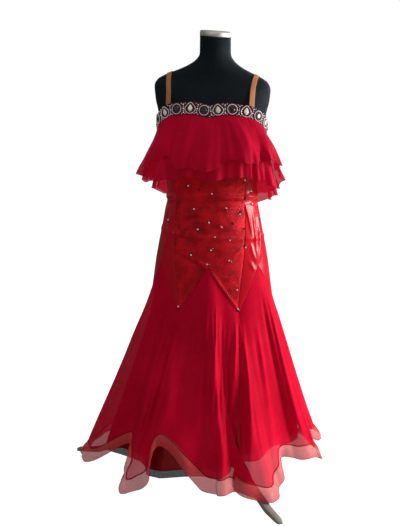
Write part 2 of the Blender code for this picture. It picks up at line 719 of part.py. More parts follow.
def centre_on_floor():
    """Puts the whole part's box over the origin, under one empty."""
    bpy.context.view_layer.update()
    graph = bpy.context.evaluated_depsgraph_get()
    pieces = list(bpy.data.collections[COLLECTION].objects)
    corners = []
    for piece in pieces:
        shown = piece.evaluated_get(graph)
        mesh = shown.to_mesh()
        corners += [shown.matrix_world @ v.co for v in mesh.vertices]
        shown.to_mesh_clear()
    spread = np.array([tuple(c) for c in corners])
    middle = (spread.min(axis=0) + spread.max(axis=0)) / 2
    frame = bpy.data.objects.new("frame", None)
    bpy.data.collections[COLLECTION].objects.link(frame)
    for piece in pieces:
        piece.parent = frame
    frame.location = (-middle[0], -middle[1], 0.0)


def main():
    clear_scene()
    bpy.context.scene.collection.children.link(bpy.data.collections.new(COLLECTION))
    dark = finish("form_skin", (0.012, 0.016, 0.022), 0.55)
    steel = finish("brushed_steel", (0.55, 0.54, 0.50), 0.30, 1.0)
    grey = finish("grey_enamel", (0.12, 0.12, 0.105), 0.40)
    glitter = finish("glitter_cloth", (0.25, 0.006, 0.012), 0.45)
    satin = finish("red_satin", (0.36, 0.008, 0.018), 0.28)
    chiffon = finish("red_chiffon", (0.36, 0.006, 0.016), 0.60)
    clear_braid = finish("clear_braid", (0.45, 0.16, 0.14), 0.40)
    black_braid = finish("black_braid", (0.02, 0.018, 0.018), 0.50)
    dark_red = finish("dark_red_band", (0.10, 0.006, 0.012), 0.40)
    elastic = finish("tan_elastic", (0.32, 0.15, 0.08), 0.60)
    build_form(dark, steel)
    build_stand(steel, grey)
    build_bodice(glitter, satin)
    build_band(dark_red)
    build_frill(chiffon)
    build_skirt(chiffon, clear_braid)
    build_lining(satin, black_braid)
    build_straps(elastic)
    centre_on_floor()


main()
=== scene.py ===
"""A ballroom dance dress on a limbless dress form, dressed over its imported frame.

Metres, +Z up. The front of the dress looks along -Y and +X is the viewer's right.
A turn is an angle about the pole in degrees, 0 at the front and growing towards +X.
A place is a position along the skirt's hem: four to a flute, first side, tip, second side, hollow.
"""

import logging
import math
from dataclasses import dataclass
from enum import Enum
from typing import Any, Sequence

import bpy
import numpy as np
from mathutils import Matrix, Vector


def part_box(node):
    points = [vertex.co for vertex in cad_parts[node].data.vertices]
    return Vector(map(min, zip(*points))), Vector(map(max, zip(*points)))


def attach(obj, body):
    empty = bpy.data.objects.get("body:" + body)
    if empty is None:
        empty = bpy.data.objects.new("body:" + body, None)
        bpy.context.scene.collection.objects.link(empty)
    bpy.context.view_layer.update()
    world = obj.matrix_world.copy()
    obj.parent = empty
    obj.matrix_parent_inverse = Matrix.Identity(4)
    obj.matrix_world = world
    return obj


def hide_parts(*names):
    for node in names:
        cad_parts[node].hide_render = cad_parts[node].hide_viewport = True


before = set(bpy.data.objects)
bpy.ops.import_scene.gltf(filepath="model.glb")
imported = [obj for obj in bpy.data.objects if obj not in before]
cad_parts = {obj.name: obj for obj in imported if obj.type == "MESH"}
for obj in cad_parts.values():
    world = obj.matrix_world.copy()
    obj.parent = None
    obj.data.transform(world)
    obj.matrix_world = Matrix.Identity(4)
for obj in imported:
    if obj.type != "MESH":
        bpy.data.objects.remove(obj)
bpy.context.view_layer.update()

Numbers = np.ndarray
Colour = tuple[float, float, float]
Table = tuple[tuple[float, ...], ...]
Shape = tuple[np.ndarray, list[list[int]]]
Place = tuple[np.ndarray, np.ndarray, np.ndarray]

log = logging.getLogger("dress")
BODY_NAME = "root"
PHOTO_HIGH = 526
SEAM_GAP = 0.0003
CLOTH = 0.0012
SHEER = 0.0010
BAND_CLOTH = 0.0016
STRAP_CLOTH = 0.0014
EASE = 0.0036
LAY_OVER = 0.0010
FULL_TURN = 360.0


def smooth_step(value: Any, start: float, end: float) -> Numbers:
    """Rises from 0 to 1 with soft ends.

    Args:
        value: Numbers to read it at.
        start: Where it leaves 0.
        end: Where it reaches 1.

    Returns:
        The rise at each number.
    """
    share = np.clip((np.asarray(value, float) - start) / (end - start), 0.0, 1.0)
    return share * share * (3.0 - 2.0 * share)


def through(xs: Any, ys: Any, x: Any) -> Numbers:
    """Reads a smooth curve that never swings past its points.

    Args:
        xs: Where the points are, growing or falling.
        ys: Their values.
        x: Where to read the curve.

    Returns:
        The curve's values.
    """
    xs, ys = np.asarray(xs, float), np.asarray(ys, float)
    if xs[0] > xs[-1]:
        xs, ys = xs[::-1], ys[::-1]
    x = np.clip(np.asarray(x, float), xs[0], xs[-1])
    run = np.diff(xs)
    rise = np.diff(ys) / run
    slope = np.zeros_like(ys)
    for i in range(1, len(xs) - 1):
        if rise[i - 1] * rise[i] > 0:
            w1, w2 = 2 * run[i] + run[i - 1], run[i] + 2 * run[i - 1]
            slope[i] = (w1 + w2) / (w1 / rise[i - 1] + w2 / rise[i])
    slope[0], slope[-1] = rise[0], rise[-1]
    i = np.clip(np.searchsorted(xs, x) - 1, 0, len(xs) - 2)
    s = (x - xs[i]) / run[i]
    keep, lead = (1 + 2 * s) * (1 - s) ** 2, s * (1 - s) ** 2
    return (
        keep * ys[i]
        + lead * run[i] * slope[i]
        + s * s * (3 - 2 * s) * ys[i + 1]
        - s * s * (1 - s) * run[i] * slope[i + 1]
    )


def column(table: Table, index: int) -> Numbers:
    """One column of a table of rows."""
    return np.array([row[index] for row in table], float)


def around(table: Table, turn: Any, index: int = 1) -> Numbers:
    """Reads a column of a table smoothly round the whole turn.

    Args:
        table: Rows that start with a turn, growing.
        turn: Turns to read it at, in degrees.
        index: The column.

    Returns:
        The values there.
    """
    turns, values = column(table, 0), column(table, index)
    turns = np.concatenate([turns[-2:] - FULL_TURN, turns, turns[:2] + FULL_TURN])
    values = np.concatenate([values[-2:], values, values[:2]])
    first = turns[2]
    lap = (np.asarray(turn, float) - first) % FULL_TURN + first
    return through(turns, values, lap)


def closed_curve(points: Numbers, starts: Any) -> Numbers:
    """Reads a smooth closed curve at positions that are counted in points.

    Args:
        points: The curve's points in order.
        starts: Positions along it.

    Returns:
        The places on the curve.
    """
    points = np.asarray(points, float)
    count = len(points)
    at = np.asarray(starts, float) % count
    i = np.floor(at).astype(int)
    s = (at - i)[:, None]
    p0, p1, p2, p3 = (points[(i + k) % count] for k in (-1, 0, 1, 2))
    return 0.5 * (
        2 * p1 + (p2 - p0) * s + (2 * p0 - 5 * p1 + 4 * p2 - p3) * s**2 + (3 * p1 - p0 - 3 * p2 + p3) * s**3
    )


def grid_normals(grid: Numbers, closed: bool) -> Numbers:
    """Finds the unit normals of a grid of points.

    Args:
        grid: Rows down the cloth, and columns that go towards +X in front.
        closed: Whether it runs right round.

    Returns:
        A normal for each point.
    """
    if closed:
        wide = np.concatenate([grid[:, -1:], grid, grid[:, :1]], axis=1)
        across = (wide[:, 2:] - wide[:, :-2]) / 2
    else:
        across = np.gradient(grid, axis=1)
    normal = np.cross(np.gradient(grid, axis=0), across)
    return normal / np.maximum(np.linalg.norm(normal, axis=-1, keepdims=True), 1e-12)


def unit(vectors: Numbers) -> Numbers:
    """The vectors with a length of 1."""
    return vectors / np.maximum(np.linalg.norm(vectors, axis=-1, keepdims=True), 1e-12)


def steps_along(points: Numbers) -> Numbers:
    """How far each point of a line lies along it."""
    return np.concatenate([[0.0], np.cumsum(np.linalg.norm(np.diff(points, axis=0), axis=1))])


def ripples(spin: Numbers, rows: Table, phase: float = 1.0) -> Numbers:
    """Adds up waves round a ring whose spacing wanders.

    Args:
        spin: Angles in radians.
        rows: Each wave's depth, count and start, then the bend, count and start of the slow wave in it.
        phase: What the starts are multiplied by.

    Returns:
        The waves' height at each angle.
    """
    total = np.zeros(np.shape(spin))
    for depth, count, start, bend, slow, slow_start in rows:
        wander = bend * np.sin(spin * slow + slow_start * phase)
        total = total + depth * np.sin(spin * count + start * phase + wander)
    return total


def loft_faces(rings: int, sides: int, closed: bool) -> list[list[int]]:
    """Joins rings of points by faces.

    Args:
        rings: How many rings there are.
        sides: How many points each has.
        closed: Whether the last joins the first. Otherwise both ends get a face.

    Returns:
        The corners of each face.
    """
    faces = []
    for k in range(rings if closed else rings - 1):
        n = (k + 1) % rings
        for s in range(sides):
            t = (s + 1) % sides
            faces.append([k * sides + s, k * sides + t, n * sides + t, n * sides + s])
    if not closed:
        faces.append(list(range(sides))[::-1])
        faces.append([(rings - 1) * sides + s for s in range(sides)])
    return faces


# Shader trees


class Tree:
    """A node tree that is filled by short calls."""

    def __init__(self, tree: bpy.types.NodeTree) -> None:
        """Holds the tree."""
        self.tree = tree

    def node(self, kind: str, values: dict[Any, Any] | None = None, **settings: Any) -> bpy.types.Node:
        """Adds a node.

        Args:
            kind: Its kind, without ShaderNode in front.
            values: What goes into its inputs, a number, a colour or another node's output.
            settings: Its own settings.

        Returns:
            The node.
        """
        made = self.tree.nodes.new(f"ShaderNode{kind}")
        for name, value in settings.items():
            setattr(made, name, value)
        for key, value in (values or {}).items():
            self.feed(made.inputs[key], value)
        return made

    def feed(self, socket: bpy.types.NodeSocket, value: Any) -> None:
        """Links or sets one input.

        Args:
            socket: The input.
            value: Another node's output, a number or a colour.
        """
        if isinstance(value, bpy.types.NodeSocket):
            self.tree.links.new(value, socket)
        else:
            socket.default_value = value

    def math(self, operation: str, *values: Any, clamp: bool = False) -> bpy.types.NodeSocket:
        """Result of a math node over some values."""
        return self.node("Math", dict(enumerate(values)), operation=operation, use_clamp=clamp).outputs[0]

    def spread(self, value: Any, low: float, high: float, start: float = 0.0, end: float = 1.0) -> Any:
        """A value moved from start and end to low and high, held between them."""
        values = {"Value": value, "From Min": start, "From Max": end, "To Min": low, "To Max": high}
        return self.node("MapRange", values).outputs["Result"]

    def mix(self, share: Any, first: Any, second: Any) -> bpy.types.NodeSocket:
        """Mixes two colours.

        Args:
            share: How much of the second.
            first: A colour.
            second: A colour.

        Returns:
            The mixed colour.
        """
        made = self.node("Mix", data_type="RGBA")
        for index, value in ((0, share), (6, first), (7, second)):
            self.feed(made.inputs[index], value)
        return made.outputs[2]

    def noise(self, vector: Any, scale: Any, detail: float = 3.0, rough: float = 0.5) -> Any:
        """Noise between 0 and 1."""
        values = {"Vector": vector, "Scale": scale, "Detail": detail, "Roughness": rough}
        return self.node("TexNoise", values).outputs["Fac"]


class Effect(Enum):
    """The effects that several finishes share."""

    THREADS = "thread_weave"
    DRIFT = "colour_drift"
    SPECKS = "bright_specks"
    MESH = "diagonal_mesh"
    WEAR = "edge_wear"
    BRUSHED = "brushed_grain"
    DUST = "settled_dust"


class Effects:
    """The shared effects, each a node group that is built once."""

    FLOAT, VECTOR, COLOUR = "NodeSocketFloat", "NodeSocketVector", "NodeSocketColor"

    def __init__(self) -> None:
        """Builds every group."""
        self.groups: dict[Effect, bpy.types.NodeTree] = {}
        for build in (
            self.build_threads, self.build_drift, self.build_specks, self.build_mesh, self.build_wear,
            self.build_brushed, self.build_dust,
        ):
            build()

    def start(self, effect: Effect, inputs: dict[str, Any], outputs: dict[str, str]) -> tuple[Tree, Any]:
        """Starts a group.

        Args:
            effect: Which one.
            inputs: Its inputs' names and their usual values, None for a vector.
            outputs: Its outputs' names and kinds.

        Returns:
            Its tree, and the outputs of its input node.
        """
        tree = bpy.data.node_groups.new(effect.value, "ShaderNodeTree")
        for name, usual in inputs.items():
            kind = self.COLOUR if isinstance(usual, tuple) else self.FLOAT
            if usual is None:
                kind = self.VECTOR
            socket = tree.interface.new_socket(name, in_out="INPUT", socket_type=kind)
            if usual is not None:
                socket.default_value = usual
        for name, kind in outputs.items():
            tree.interface.new_socket(name, in_out="OUTPUT", socket_type=kind)
        self.groups[effect] = tree
        return Tree(tree), tree.nodes.new("NodeGroupInput").outputs

    def end(self, tree: Tree, results: dict[str, Any]) -> None:
        """Links a group's results to its outputs.

        Args:
            tree: The group's tree.
            results: What goes to each output.
        """
        out = tree.tree.nodes.new("NodeGroupOutput")
        for name, value in results.items():
            tree.feed(out.inputs[name], value)

    def place(self, tree: Tree, effect: Effect, values: dict[str, Any]) -> Any:
        """Puts a group in a material.

        Args:
            tree: The material's tree.
            effect: Which group.
            values: What goes into its inputs.

        Returns:
            Its outputs.
        """
        made = tree.node("Group", node_tree=self.groups[effect])
        for name, value in values.items():
            tree.feed(made.inputs[name], value)
        return made.outputs

    def build_threads(self) -> None:
        """Warp and weft that cross, with a little slub along them."""
        inputs = {"Place": None, "Threads": 900.0, "Slub": 0.3}
        tree, given = self.start(Effect.THREADS, inputs, {"Height": self.FLOAT})
        apart = tree.node("SeparateXYZ", {0: given["Place"]}).outputs
        waves = []
        for axis in (0, 1):
            count = tree.math("MULTIPLY", apart[axis], given["Threads"])
            wave = tree.math("SINE", tree.math("MULTIPLY", count, 2 * math.pi))
            waves.append(tree.math("ABSOLUTE", wave))
        weave = tree.math("MULTIPLY", tree.math("ADD", *waves), 0.5)
        long = tree.node("VectorMath", {0: given["Place"], 1: (40.0, 900.0, 1.0)}, operation="MULTIPLY")
        slub = tree.math("MULTIPLY", tree.noise(long.outputs[0], 1.0, 2.0), given["Slub"])
        self.end(tree, {"Height": tree.math("ADD", weave, slub)})

    def build_drift(self) -> None:
        """A colour that drifts a little between two over the cloth."""
        colour = (0.5, 0.0, 0.0, 1.0)
        inputs = {"Place": None, "Scale": 6.0, "Colour": colour, "Deep": colour, "Fine": 0.3}
        tree, given = self.start(Effect.DRIFT, inputs, {"Colour": self.COLOUR, "Value": self.FLOAT})
        broad = tree.noise(given["Place"], given["Scale"], 3.0, 0.55)
        fine = tree.noise(given["Place"], tree.math("MULTIPLY", given["Scale"], 17.0), 2.0)
        both = tree.math("ADD", broad, tree.math("MULTIPLY", tree.math("SUBTRACT", fine, 0.5), given["Fine"]))
        value = tree.spread(both, 0.0, 1.0, 0.32, 0.68)
        self.end(tree, {"Colour": tree.mix(value, given["Deep"], given["Colour"]), "Value": value})

    def build_specks(self) -> None:
        """Small bright specks scattered over a cloth, each with its own tilt."""
        inputs = {"Place": None, "Per Metre": 500.0, "Share": 0.25}
        tree, given = self.start(Effect.SPECKS, inputs, {"Mask": self.FLOAT, "Tilt": self.FLOAT})
        cell = tree.node("TexVoronoi", {"Vector": given["Place"], "Scale": given["Per Metre"]}).outputs
        near = tree.spread(cell["Distance"], 1.0, 0.0, 0.22, 0.42)
        tone = tree.node("SeparateColor", {0: cell["Color"]}).outputs
        some = tree.math("LESS_THAN", tone[0], given["Share"])
        self.end(tree, {"Mask": tree.math("MULTIPLY", near, some), "Tilt": tone[1]})

    def build_mesh(self) -> None:
        """Stiff threads that cross on the diagonal, with holes between them."""
        inputs = {"Place": None, "Per Metre": 300.0, "Fill": 0.5}
        tree, given = self.start(Effect.MESH, inputs, {"Solid": self.FLOAT, "Height": self.FLOAT})
        apart = tree.node("SeparateXYZ", {0: given["Place"]}).outputs
        lines = []
        for operation in ("ADD", "SUBTRACT"):
            slope = tree.math("MULTIPLY", tree.math(operation, apart[0], apart[1]), given["Per Metre"])
            away = tree.math("PINGPONG", slope, 0.5)
            lines.append(tree.math("MULTIPLY", away, 2.0))
        thread = tree.math("MINIMUM", *lines)
        solid = tree.math("LESS_THAN", thread, given["Fill"])
        self.end(tree, {"Solid": solid, "Height": tree.math("SUBTRACT", 1.0, thread)})

    def build_wear(self) -> None:
        """Bare spots along edges and a few elsewhere."""
        inputs = {"Place": None, "Scale": 60.0, "Share": 0.3}
        tree, given = self.start(Effect.WEAR, inputs, {"Mask": self.FLOAT})
        edge = tree.spread(tree.node("NewGeometry").outputs["Pointiness"], 0.0, 1.0, 0.52, 0.60)
        patch = tree.spread(tree.noise(given["Place"], given["Scale"], 5.0, 0.65), 0.0, 1.0, 0.45, 0.62)
        both = tree.math("MULTIPLY", edge, patch)
        self.end(tree, {"Mask": tree.math("MULTIPLY", both, given["Share"], clamp=True)})

    def build_brushed(self) -> None:
        """Fine streaks that run one way."""
        inputs = {"Place": None, "Streaks": 900.0}
        tree, given = self.start(Effect.BRUSHED, inputs, {"Value": self.FLOAT})
        apart = tree.node("SeparateXYZ", {0: given["Place"]}).outputs
        across = tree.math("MULTIPLY", apart[1], given["Streaks"])
        along = tree.math("MULTIPLY", apart[0], 14.0)
        thin = tree.node("CombineXYZ", {0: along, 1: across}).outputs[0]
        self.end(tree, {"Value": tree.noise(thin, 1.0, 4.0, 0.7)})

    def build_dust(self) -> None:
        """Light dust on what faces up."""
        tree, given = self.start(Effect.DUST, {"Place": None, "Share": 0.3}, {"Mask": self.FLOAT})
        facing = tree.node("SeparateXYZ", {0: tree.node("NewGeometry").outputs["Normal"]}).outputs[2]
        upward = tree.spread(facing, 0.0, 1.0, 0.15, 0.95)
        drift = tree.spread(tree.noise(given["Place"], 35.0, 6.0, 0.6), 0.25, 1.0, 0.35, 0.7)
        self.end(tree, {"Mask": tree.math("MULTIPLY", tree.math("MULTIPLY", upward, drift), given["Share"])})


@dataclass(frozen=True)
class Finish:
    """What every finish has."""

    name: str
    colour: Colour
    roughness: float

    def begin(self) -> tuple[Tree, bpy.types.Node, bpy.types.Material, Any, Any]:
        """Starts the material.

        Returns:
            Its tree, shader and material, and the cut's and the world's coordinates.
        """
        material = bpy.data.materials.new(self.name)
        material.use_nodes = True
        tree = Tree(material.node_tree)
        shader = material.node_tree.nodes["Principled BSDF"]
        material.diffuse_color = (*self.colour, 1.0)
        cut = tree.node("UVMap", uv_map="cut").outputs["UV"]
        world = tree.node("TexCoord").outputs["Object"]
        return tree, shader, material, cut, world

    def drift(self, effects: Effects, tree: Tree, world: Any, scale: float, deep: Any, fine: float) -> Any:
        """Places the drift between the finish's colour and a deeper one.

        Args:
            effects: The shared effects.
            tree: The material's tree.
            world: The world's coordinates.
            scale: How close together it changes.
            deep: The deeper colour.
            fine: How much fine grain it has.

        Returns:
            The drifting colour and value.
        """
        values = {
            "Place": world, "Scale": scale, "Colour": (*self.colour, 1.0), "Deep": (*deep, 1.0), "Fine": fine,
        }
        return effects.place(tree, Effect.DRIFT, values)

    def shade(self, share: float) -> tuple[float, ...]:
        """The finish's colour at a share of its brightness."""
        return tuple(min(1.0, share * c) for c in self.colour)

    def dress(self, tree: Tree, shader: bpy.types.Node, values: dict[str, Any]) -> None:
        """Links or sets the shader's inputs."""
        for name, value in values.items():
            tree.feed(shader.inputs[name], value)

    def bump(self, tree: Tree, shader: bpy.types.Node, height: Any, distance: float, strength: float) -> None:
        """Feeds a bump to the shader's normal."""
        values = {"Height": height, "Distance": distance, "Strength": strength}
        tree.feed(shader.inputs["Normal"], tree.node("Bump", values).outputs["Normal"])


@dataclass(frozen=True)
class Cloth(Finish):
    """A woven or knitted cloth."""

    deep: Colour = (0.1, 0.0, 0.0)
    threads: float = 900.0
    slub: float = 0.3
    bump_depth: float = 0.00012
    bump_strength: float = 0.6
    sheen: float = 0.0
    sheen_tint: Colour = (1.0, 1.0, 1.0)
    sheen_rough: float = 0.35
    coat: float = 0.0
    coat_rough: float = 0.2
    opacity: float = 1.0
    opacity_swing: float = 0.0
    drift_scale: float = 6.0
    fine: float = 0.3
    specks: float = 0.0
    speck_colour: Colour = (0.8, 0.2, 0.25)
    speck_count: float = 480.0
    speck_polish: float = 0.6
    speck_metal: float = 0.75
    speck_tilt: float = 2.5
    specular: float = 0.5
    dust: float = 0.0
    dust_colour: Colour = (0.32, 0.31, 0.30)
    # Painted light: emission in the cloth's colour that stands in for light coming through it, at the glow
    # outside and at the inside glow on the cloth's inside
    glow: float = 0.0
    painted_inside_glow: float = 0.0
    inside_opacity: float = 0.0

    def make(self, effects: Effects) -> bpy.types.Material:
        """Makes the material of this cloth.

        Args:
            effects: The shared effects.

        Returns:
            The material.
        """
        tree, shader, material, cut, world = self.begin()
        grain = {"Place": cut, "Threads": self.threads, "Slub": self.slub}
        weave = effects.place(tree, Effect.THREADS, grain)
        drift = self.drift(effects, tree, world, self.drift_scale, self.deep, self.fine)
        colour, height = drift["Colour"], weave["Height"]
        rough = tree.spread(drift["Value"], self.roughness * 1.12, self.roughness * 0.9)
        if self.specks > 0.0:
            values = {"Place": cut, "Per Metre": self.speck_count, "Share": self.specks}
            speck = effects.place(tree, Effect.SPECKS, values)
            colour = tree.mix(speck["Mask"], colour, (*self.speck_colour, 1.0))
            polish = tree.math("MULTIPLY", speck["Mask"], self.roughness * self.speck_polish)
            rough = tree.math("SUBTRACT", rough, polish)
            tree.feed(shader.inputs["Metallic"], tree.math("MULTIPLY", speck["Mask"], self.speck_metal))
            height = tree.math("ADD", height, tree.math("MULTIPLY", speck["Tilt"], self.speck_tilt))
        if self.dust > 0.0:
            mask = effects.place(tree, Effect.DUST, {"Place": world, "Share": self.dust})["Mask"]
            colour = tree.mix(mask, colour, (*self.dust_colour, 1.0))
        values = {
            "Base Color": colour, "Roughness": rough, "Specular IOR Level": self.specular,
            "Sheen Weight": self.sheen, "Sheen Tint": (*self.sheen_tint, 1.0),
            "Sheen Roughness": self.sheen_rough, "Coat Weight": self.coat, "Coat Roughness": self.coat_rough,
        }
        self.dress(tree, shader, values)
        # Painted glow for the light that comes through the cloth
        if self.glow > 0.0:
            self.add_glow(tree, shader, colour)
        if self.opacity < 1.0:
            self.add_holes(tree, shader, drift["Value"], weave["Height"])
        self.bump(tree, shader, height, self.bump_depth, self.bump_strength)
        return material

    def add_glow(self, tree: Tree, shader: bpy.types.Node, colour: Any) -> None:
        """Paints a glow, emission in the cloth's colour that stands in for the light that comes through thin
        cloth, stronger on its inside where the cloth asks for it.

        Args:
            tree: The material's tree.
            shader: The material's shader.
            colour: The cloth's colour.
        """
        most = max(self.glow, self.painted_inside_glow)
        inside = tree.node("NewGeometry").outputs["Backfacing"]
        faint = tree.mix(1.0 - self.glow / most, colour, (0.0, 0.0, 0.0, 1.0))
        values = {"Emission Color": tree.mix(inside, faint, colour), "Emission Strength": most}
        self.dress(tree, shader, values)

    def add_holes(self, tree: Tree, shader: bpy.types.Node, drift: Any, weave: Any) -> None:
        """Lets a little show through between the threads, less on the inside where the cloth asks for it.

        Args:
            tree: The material's tree.
            shader: The material's shader.
            drift: The drift's value.
            weave: The weave's height.
        """
        inside = tree.node("NewGeometry").outputs["Backfacing"]
        thick = tree.math("ADD", tree.math("MULTIPLY", drift, 0.5), weave)
        low, high = self.opacity - self.opacity_swing, self.opacity + self.opacity_swing
        cover = tree.spread(thick, low, high, 0.3, 1.5)
        closed = tree.math("MULTIPLY", inside, self.inside_opacity)
        tree.feed(shader.inputs["Alpha"], tree.math("MAXIMUM", cover, closed))


@dataclass(frozen=True)
class Braid(Finish):
    """A stiff open braid."""

    per_metre: float = 260.0
    fill: float = 0.5
    between: float = 0.2
    thread_opacity: float = 0.9
    specular: float = 0.6
    # Painted light: emission in the braid's own colour, which lightens it as if light shone through it
    glow: float = 0.0
    deep_share: float = 0.6
    drift_scale: float = 9.0
    fine: float = 0.2

    def make(self, effects: Effects) -> bpy.types.Material:
        """Makes the material of this braid.

        Args:
            effects: The shared effects.

        Returns:
            The material.
        """
        tree, shader, material, cut, world = self.begin()
        values = {"Place": cut, "Per Metre": self.per_metre, "Fill": self.fill}
        mesh = effects.place(tree, Effect.MESH, values)
        drift = self.drift(effects, tree, world, self.drift_scale, self.shade(self.deep_share), self.fine)
        values = {
            "Base Color": drift["Colour"], "Roughness": self.roughness, "Specular IOR Level": self.specular,
            "Alpha": tree.spread(mesh["Solid"], self.between, self.thread_opacity),
            # painted glow: emission in the braid's colour
            "Emission Color": drift["Colour"], "Emission Strength": self.glow,
        }
        self.dress(tree, shader, values)
        self.bump(tree, shader, mesh["Height"], 0.0004, 0.7)
        return material


@dataclass(frozen=True)
class Metal(Finish):
    """Brushed metal."""

    streaks: float = 900.0
    anisotropic: float = 0.5
    wear_scale: float = 90.0
    wear_share: float = 0.5

    def make(self, effects: Effects) -> bpy.types.Material:
        """Makes the material of this metal.

        Args:
            effects: The shared effects.

        Returns:
            The material.
        """
        tree, shader, material, cut, world = self.begin()
        grain = effects.place(tree, Effect.BRUSHED, {"Place": cut, "Streaks": self.streaks})["Value"]
        values = {"Place": world, "Scale": self.wear_scale, "Share": self.wear_share}
        wear = effects.place(tree, Effect.WEAR, values)["Mask"]
        worn = tree.mix(wear, (*self.colour, 1.0), (*self.shade(1.35), 1.0))
        values = {
            "Base Color": tree.mix(tree.spread(grain, 0.0, 0.5), worn, (*self.shade(0.8), 1.0)),
            "Roughness": tree.spread(grain, self.roughness * 0.8, self.roughness * 1.25),
            "Metallic": 1.0, "Anisotropic": self.anisotropic,
        }
        self.dress(tree, shader, values)
        self.bump(tree, shader, grain, 0.00006, 0.5)
        return material


@dataclass(frozen=True)
class Enamel(Finish):
    """Painted metal with worn edges and a little dust."""

    wear_scale: float = 70.0
    wear_share: float = 0.9
    dust: float = 0.35
    dust_colour: Colour = (0.38, 0.36, 0.32)
    bare_colour: Colour = (0.42, 0.41, 0.38)
    deep_share: float = 0.75
    drift_scale: float = 14.0
    fine: float = 0.4

    def make(self, effects: Effects) -> bpy.types.Material:
        """Makes the material of this enamel.

        Args:
            effects: The shared effects.

        Returns:
            The material.
        """
        tree, shader, material, _, world = self.begin()
        values = {"Place": world, "Scale": self.wear_scale, "Share": self.wear_share}
        wear = effects.place(tree, Effect.WEAR, values)["Mask"]
        dust = effects.place(tree, Effect.DUST, {"Place": world, "Share": self.dust})["Mask"]
        drift = self.drift(effects, tree, world, self.drift_scale, self.shade(self.deep_share), self.fine)
        worn = tree.mix(wear, drift["Colour"], (*self.bare_colour, 1.0))
        values = {
            "Base Color": tree.mix(dust, worn, (*self.dust_colour, 1.0)),
            "Roughness": tree.spread(drift["Value"], self.roughness * 1.2, self.roughness),
            "Metallic": tree.math("MULTIPLY", wear, 0.9),
        }
        self.dress(tree, shader, values)
        self.bump(tree, shader, tree.noise(world, 900.0, 2.0), 0.0001, 0.35)
        return material


@dataclass(frozen=True)
class Gem(Finish):
    """Foiled glass, a bead or a cast stone."""

    metallic: float = 0.0
    coat: float = 1.0
    coat_rough: float = 0.04
    bending: float = 1.55
    cloud: float = 40.0
    fine: float = 0.9
    dark_share: float = 0.55
    # Painted sparkle: emission in the stone's colour that brightens it as if light caught in its facets
    glow: float = 0.0

    def make(self, effects: Effects) -> bpy.types.Material:
        """Makes the material of this stone.

        Args:
            effects: The shared effects.

        Returns:
            The material.
        """
        tree, shader, material, _, world = self.begin()
        drift = self.drift(effects, tree, world, self.cloud, self.shade(self.dark_share), self.fine)
        values = {
            "Base Color": drift["Colour"],
            "Roughness": tree.spread(drift["Value"], self.roughness * 1.6, self.roughness),
            "Metallic": self.metallic, "Coat Weight": self.coat, "Coat Roughness": self.coat_rough,
            "IOR": self.bending,
        }
        self.dress(tree, shader, values)
        # Painted sparkle, where the stone asks for it
        if self.glow > 0.0:
            self.dress(tree, shader, {"Emission Color": drift["Colour"], "Emission Strength": self.glow})
        return material


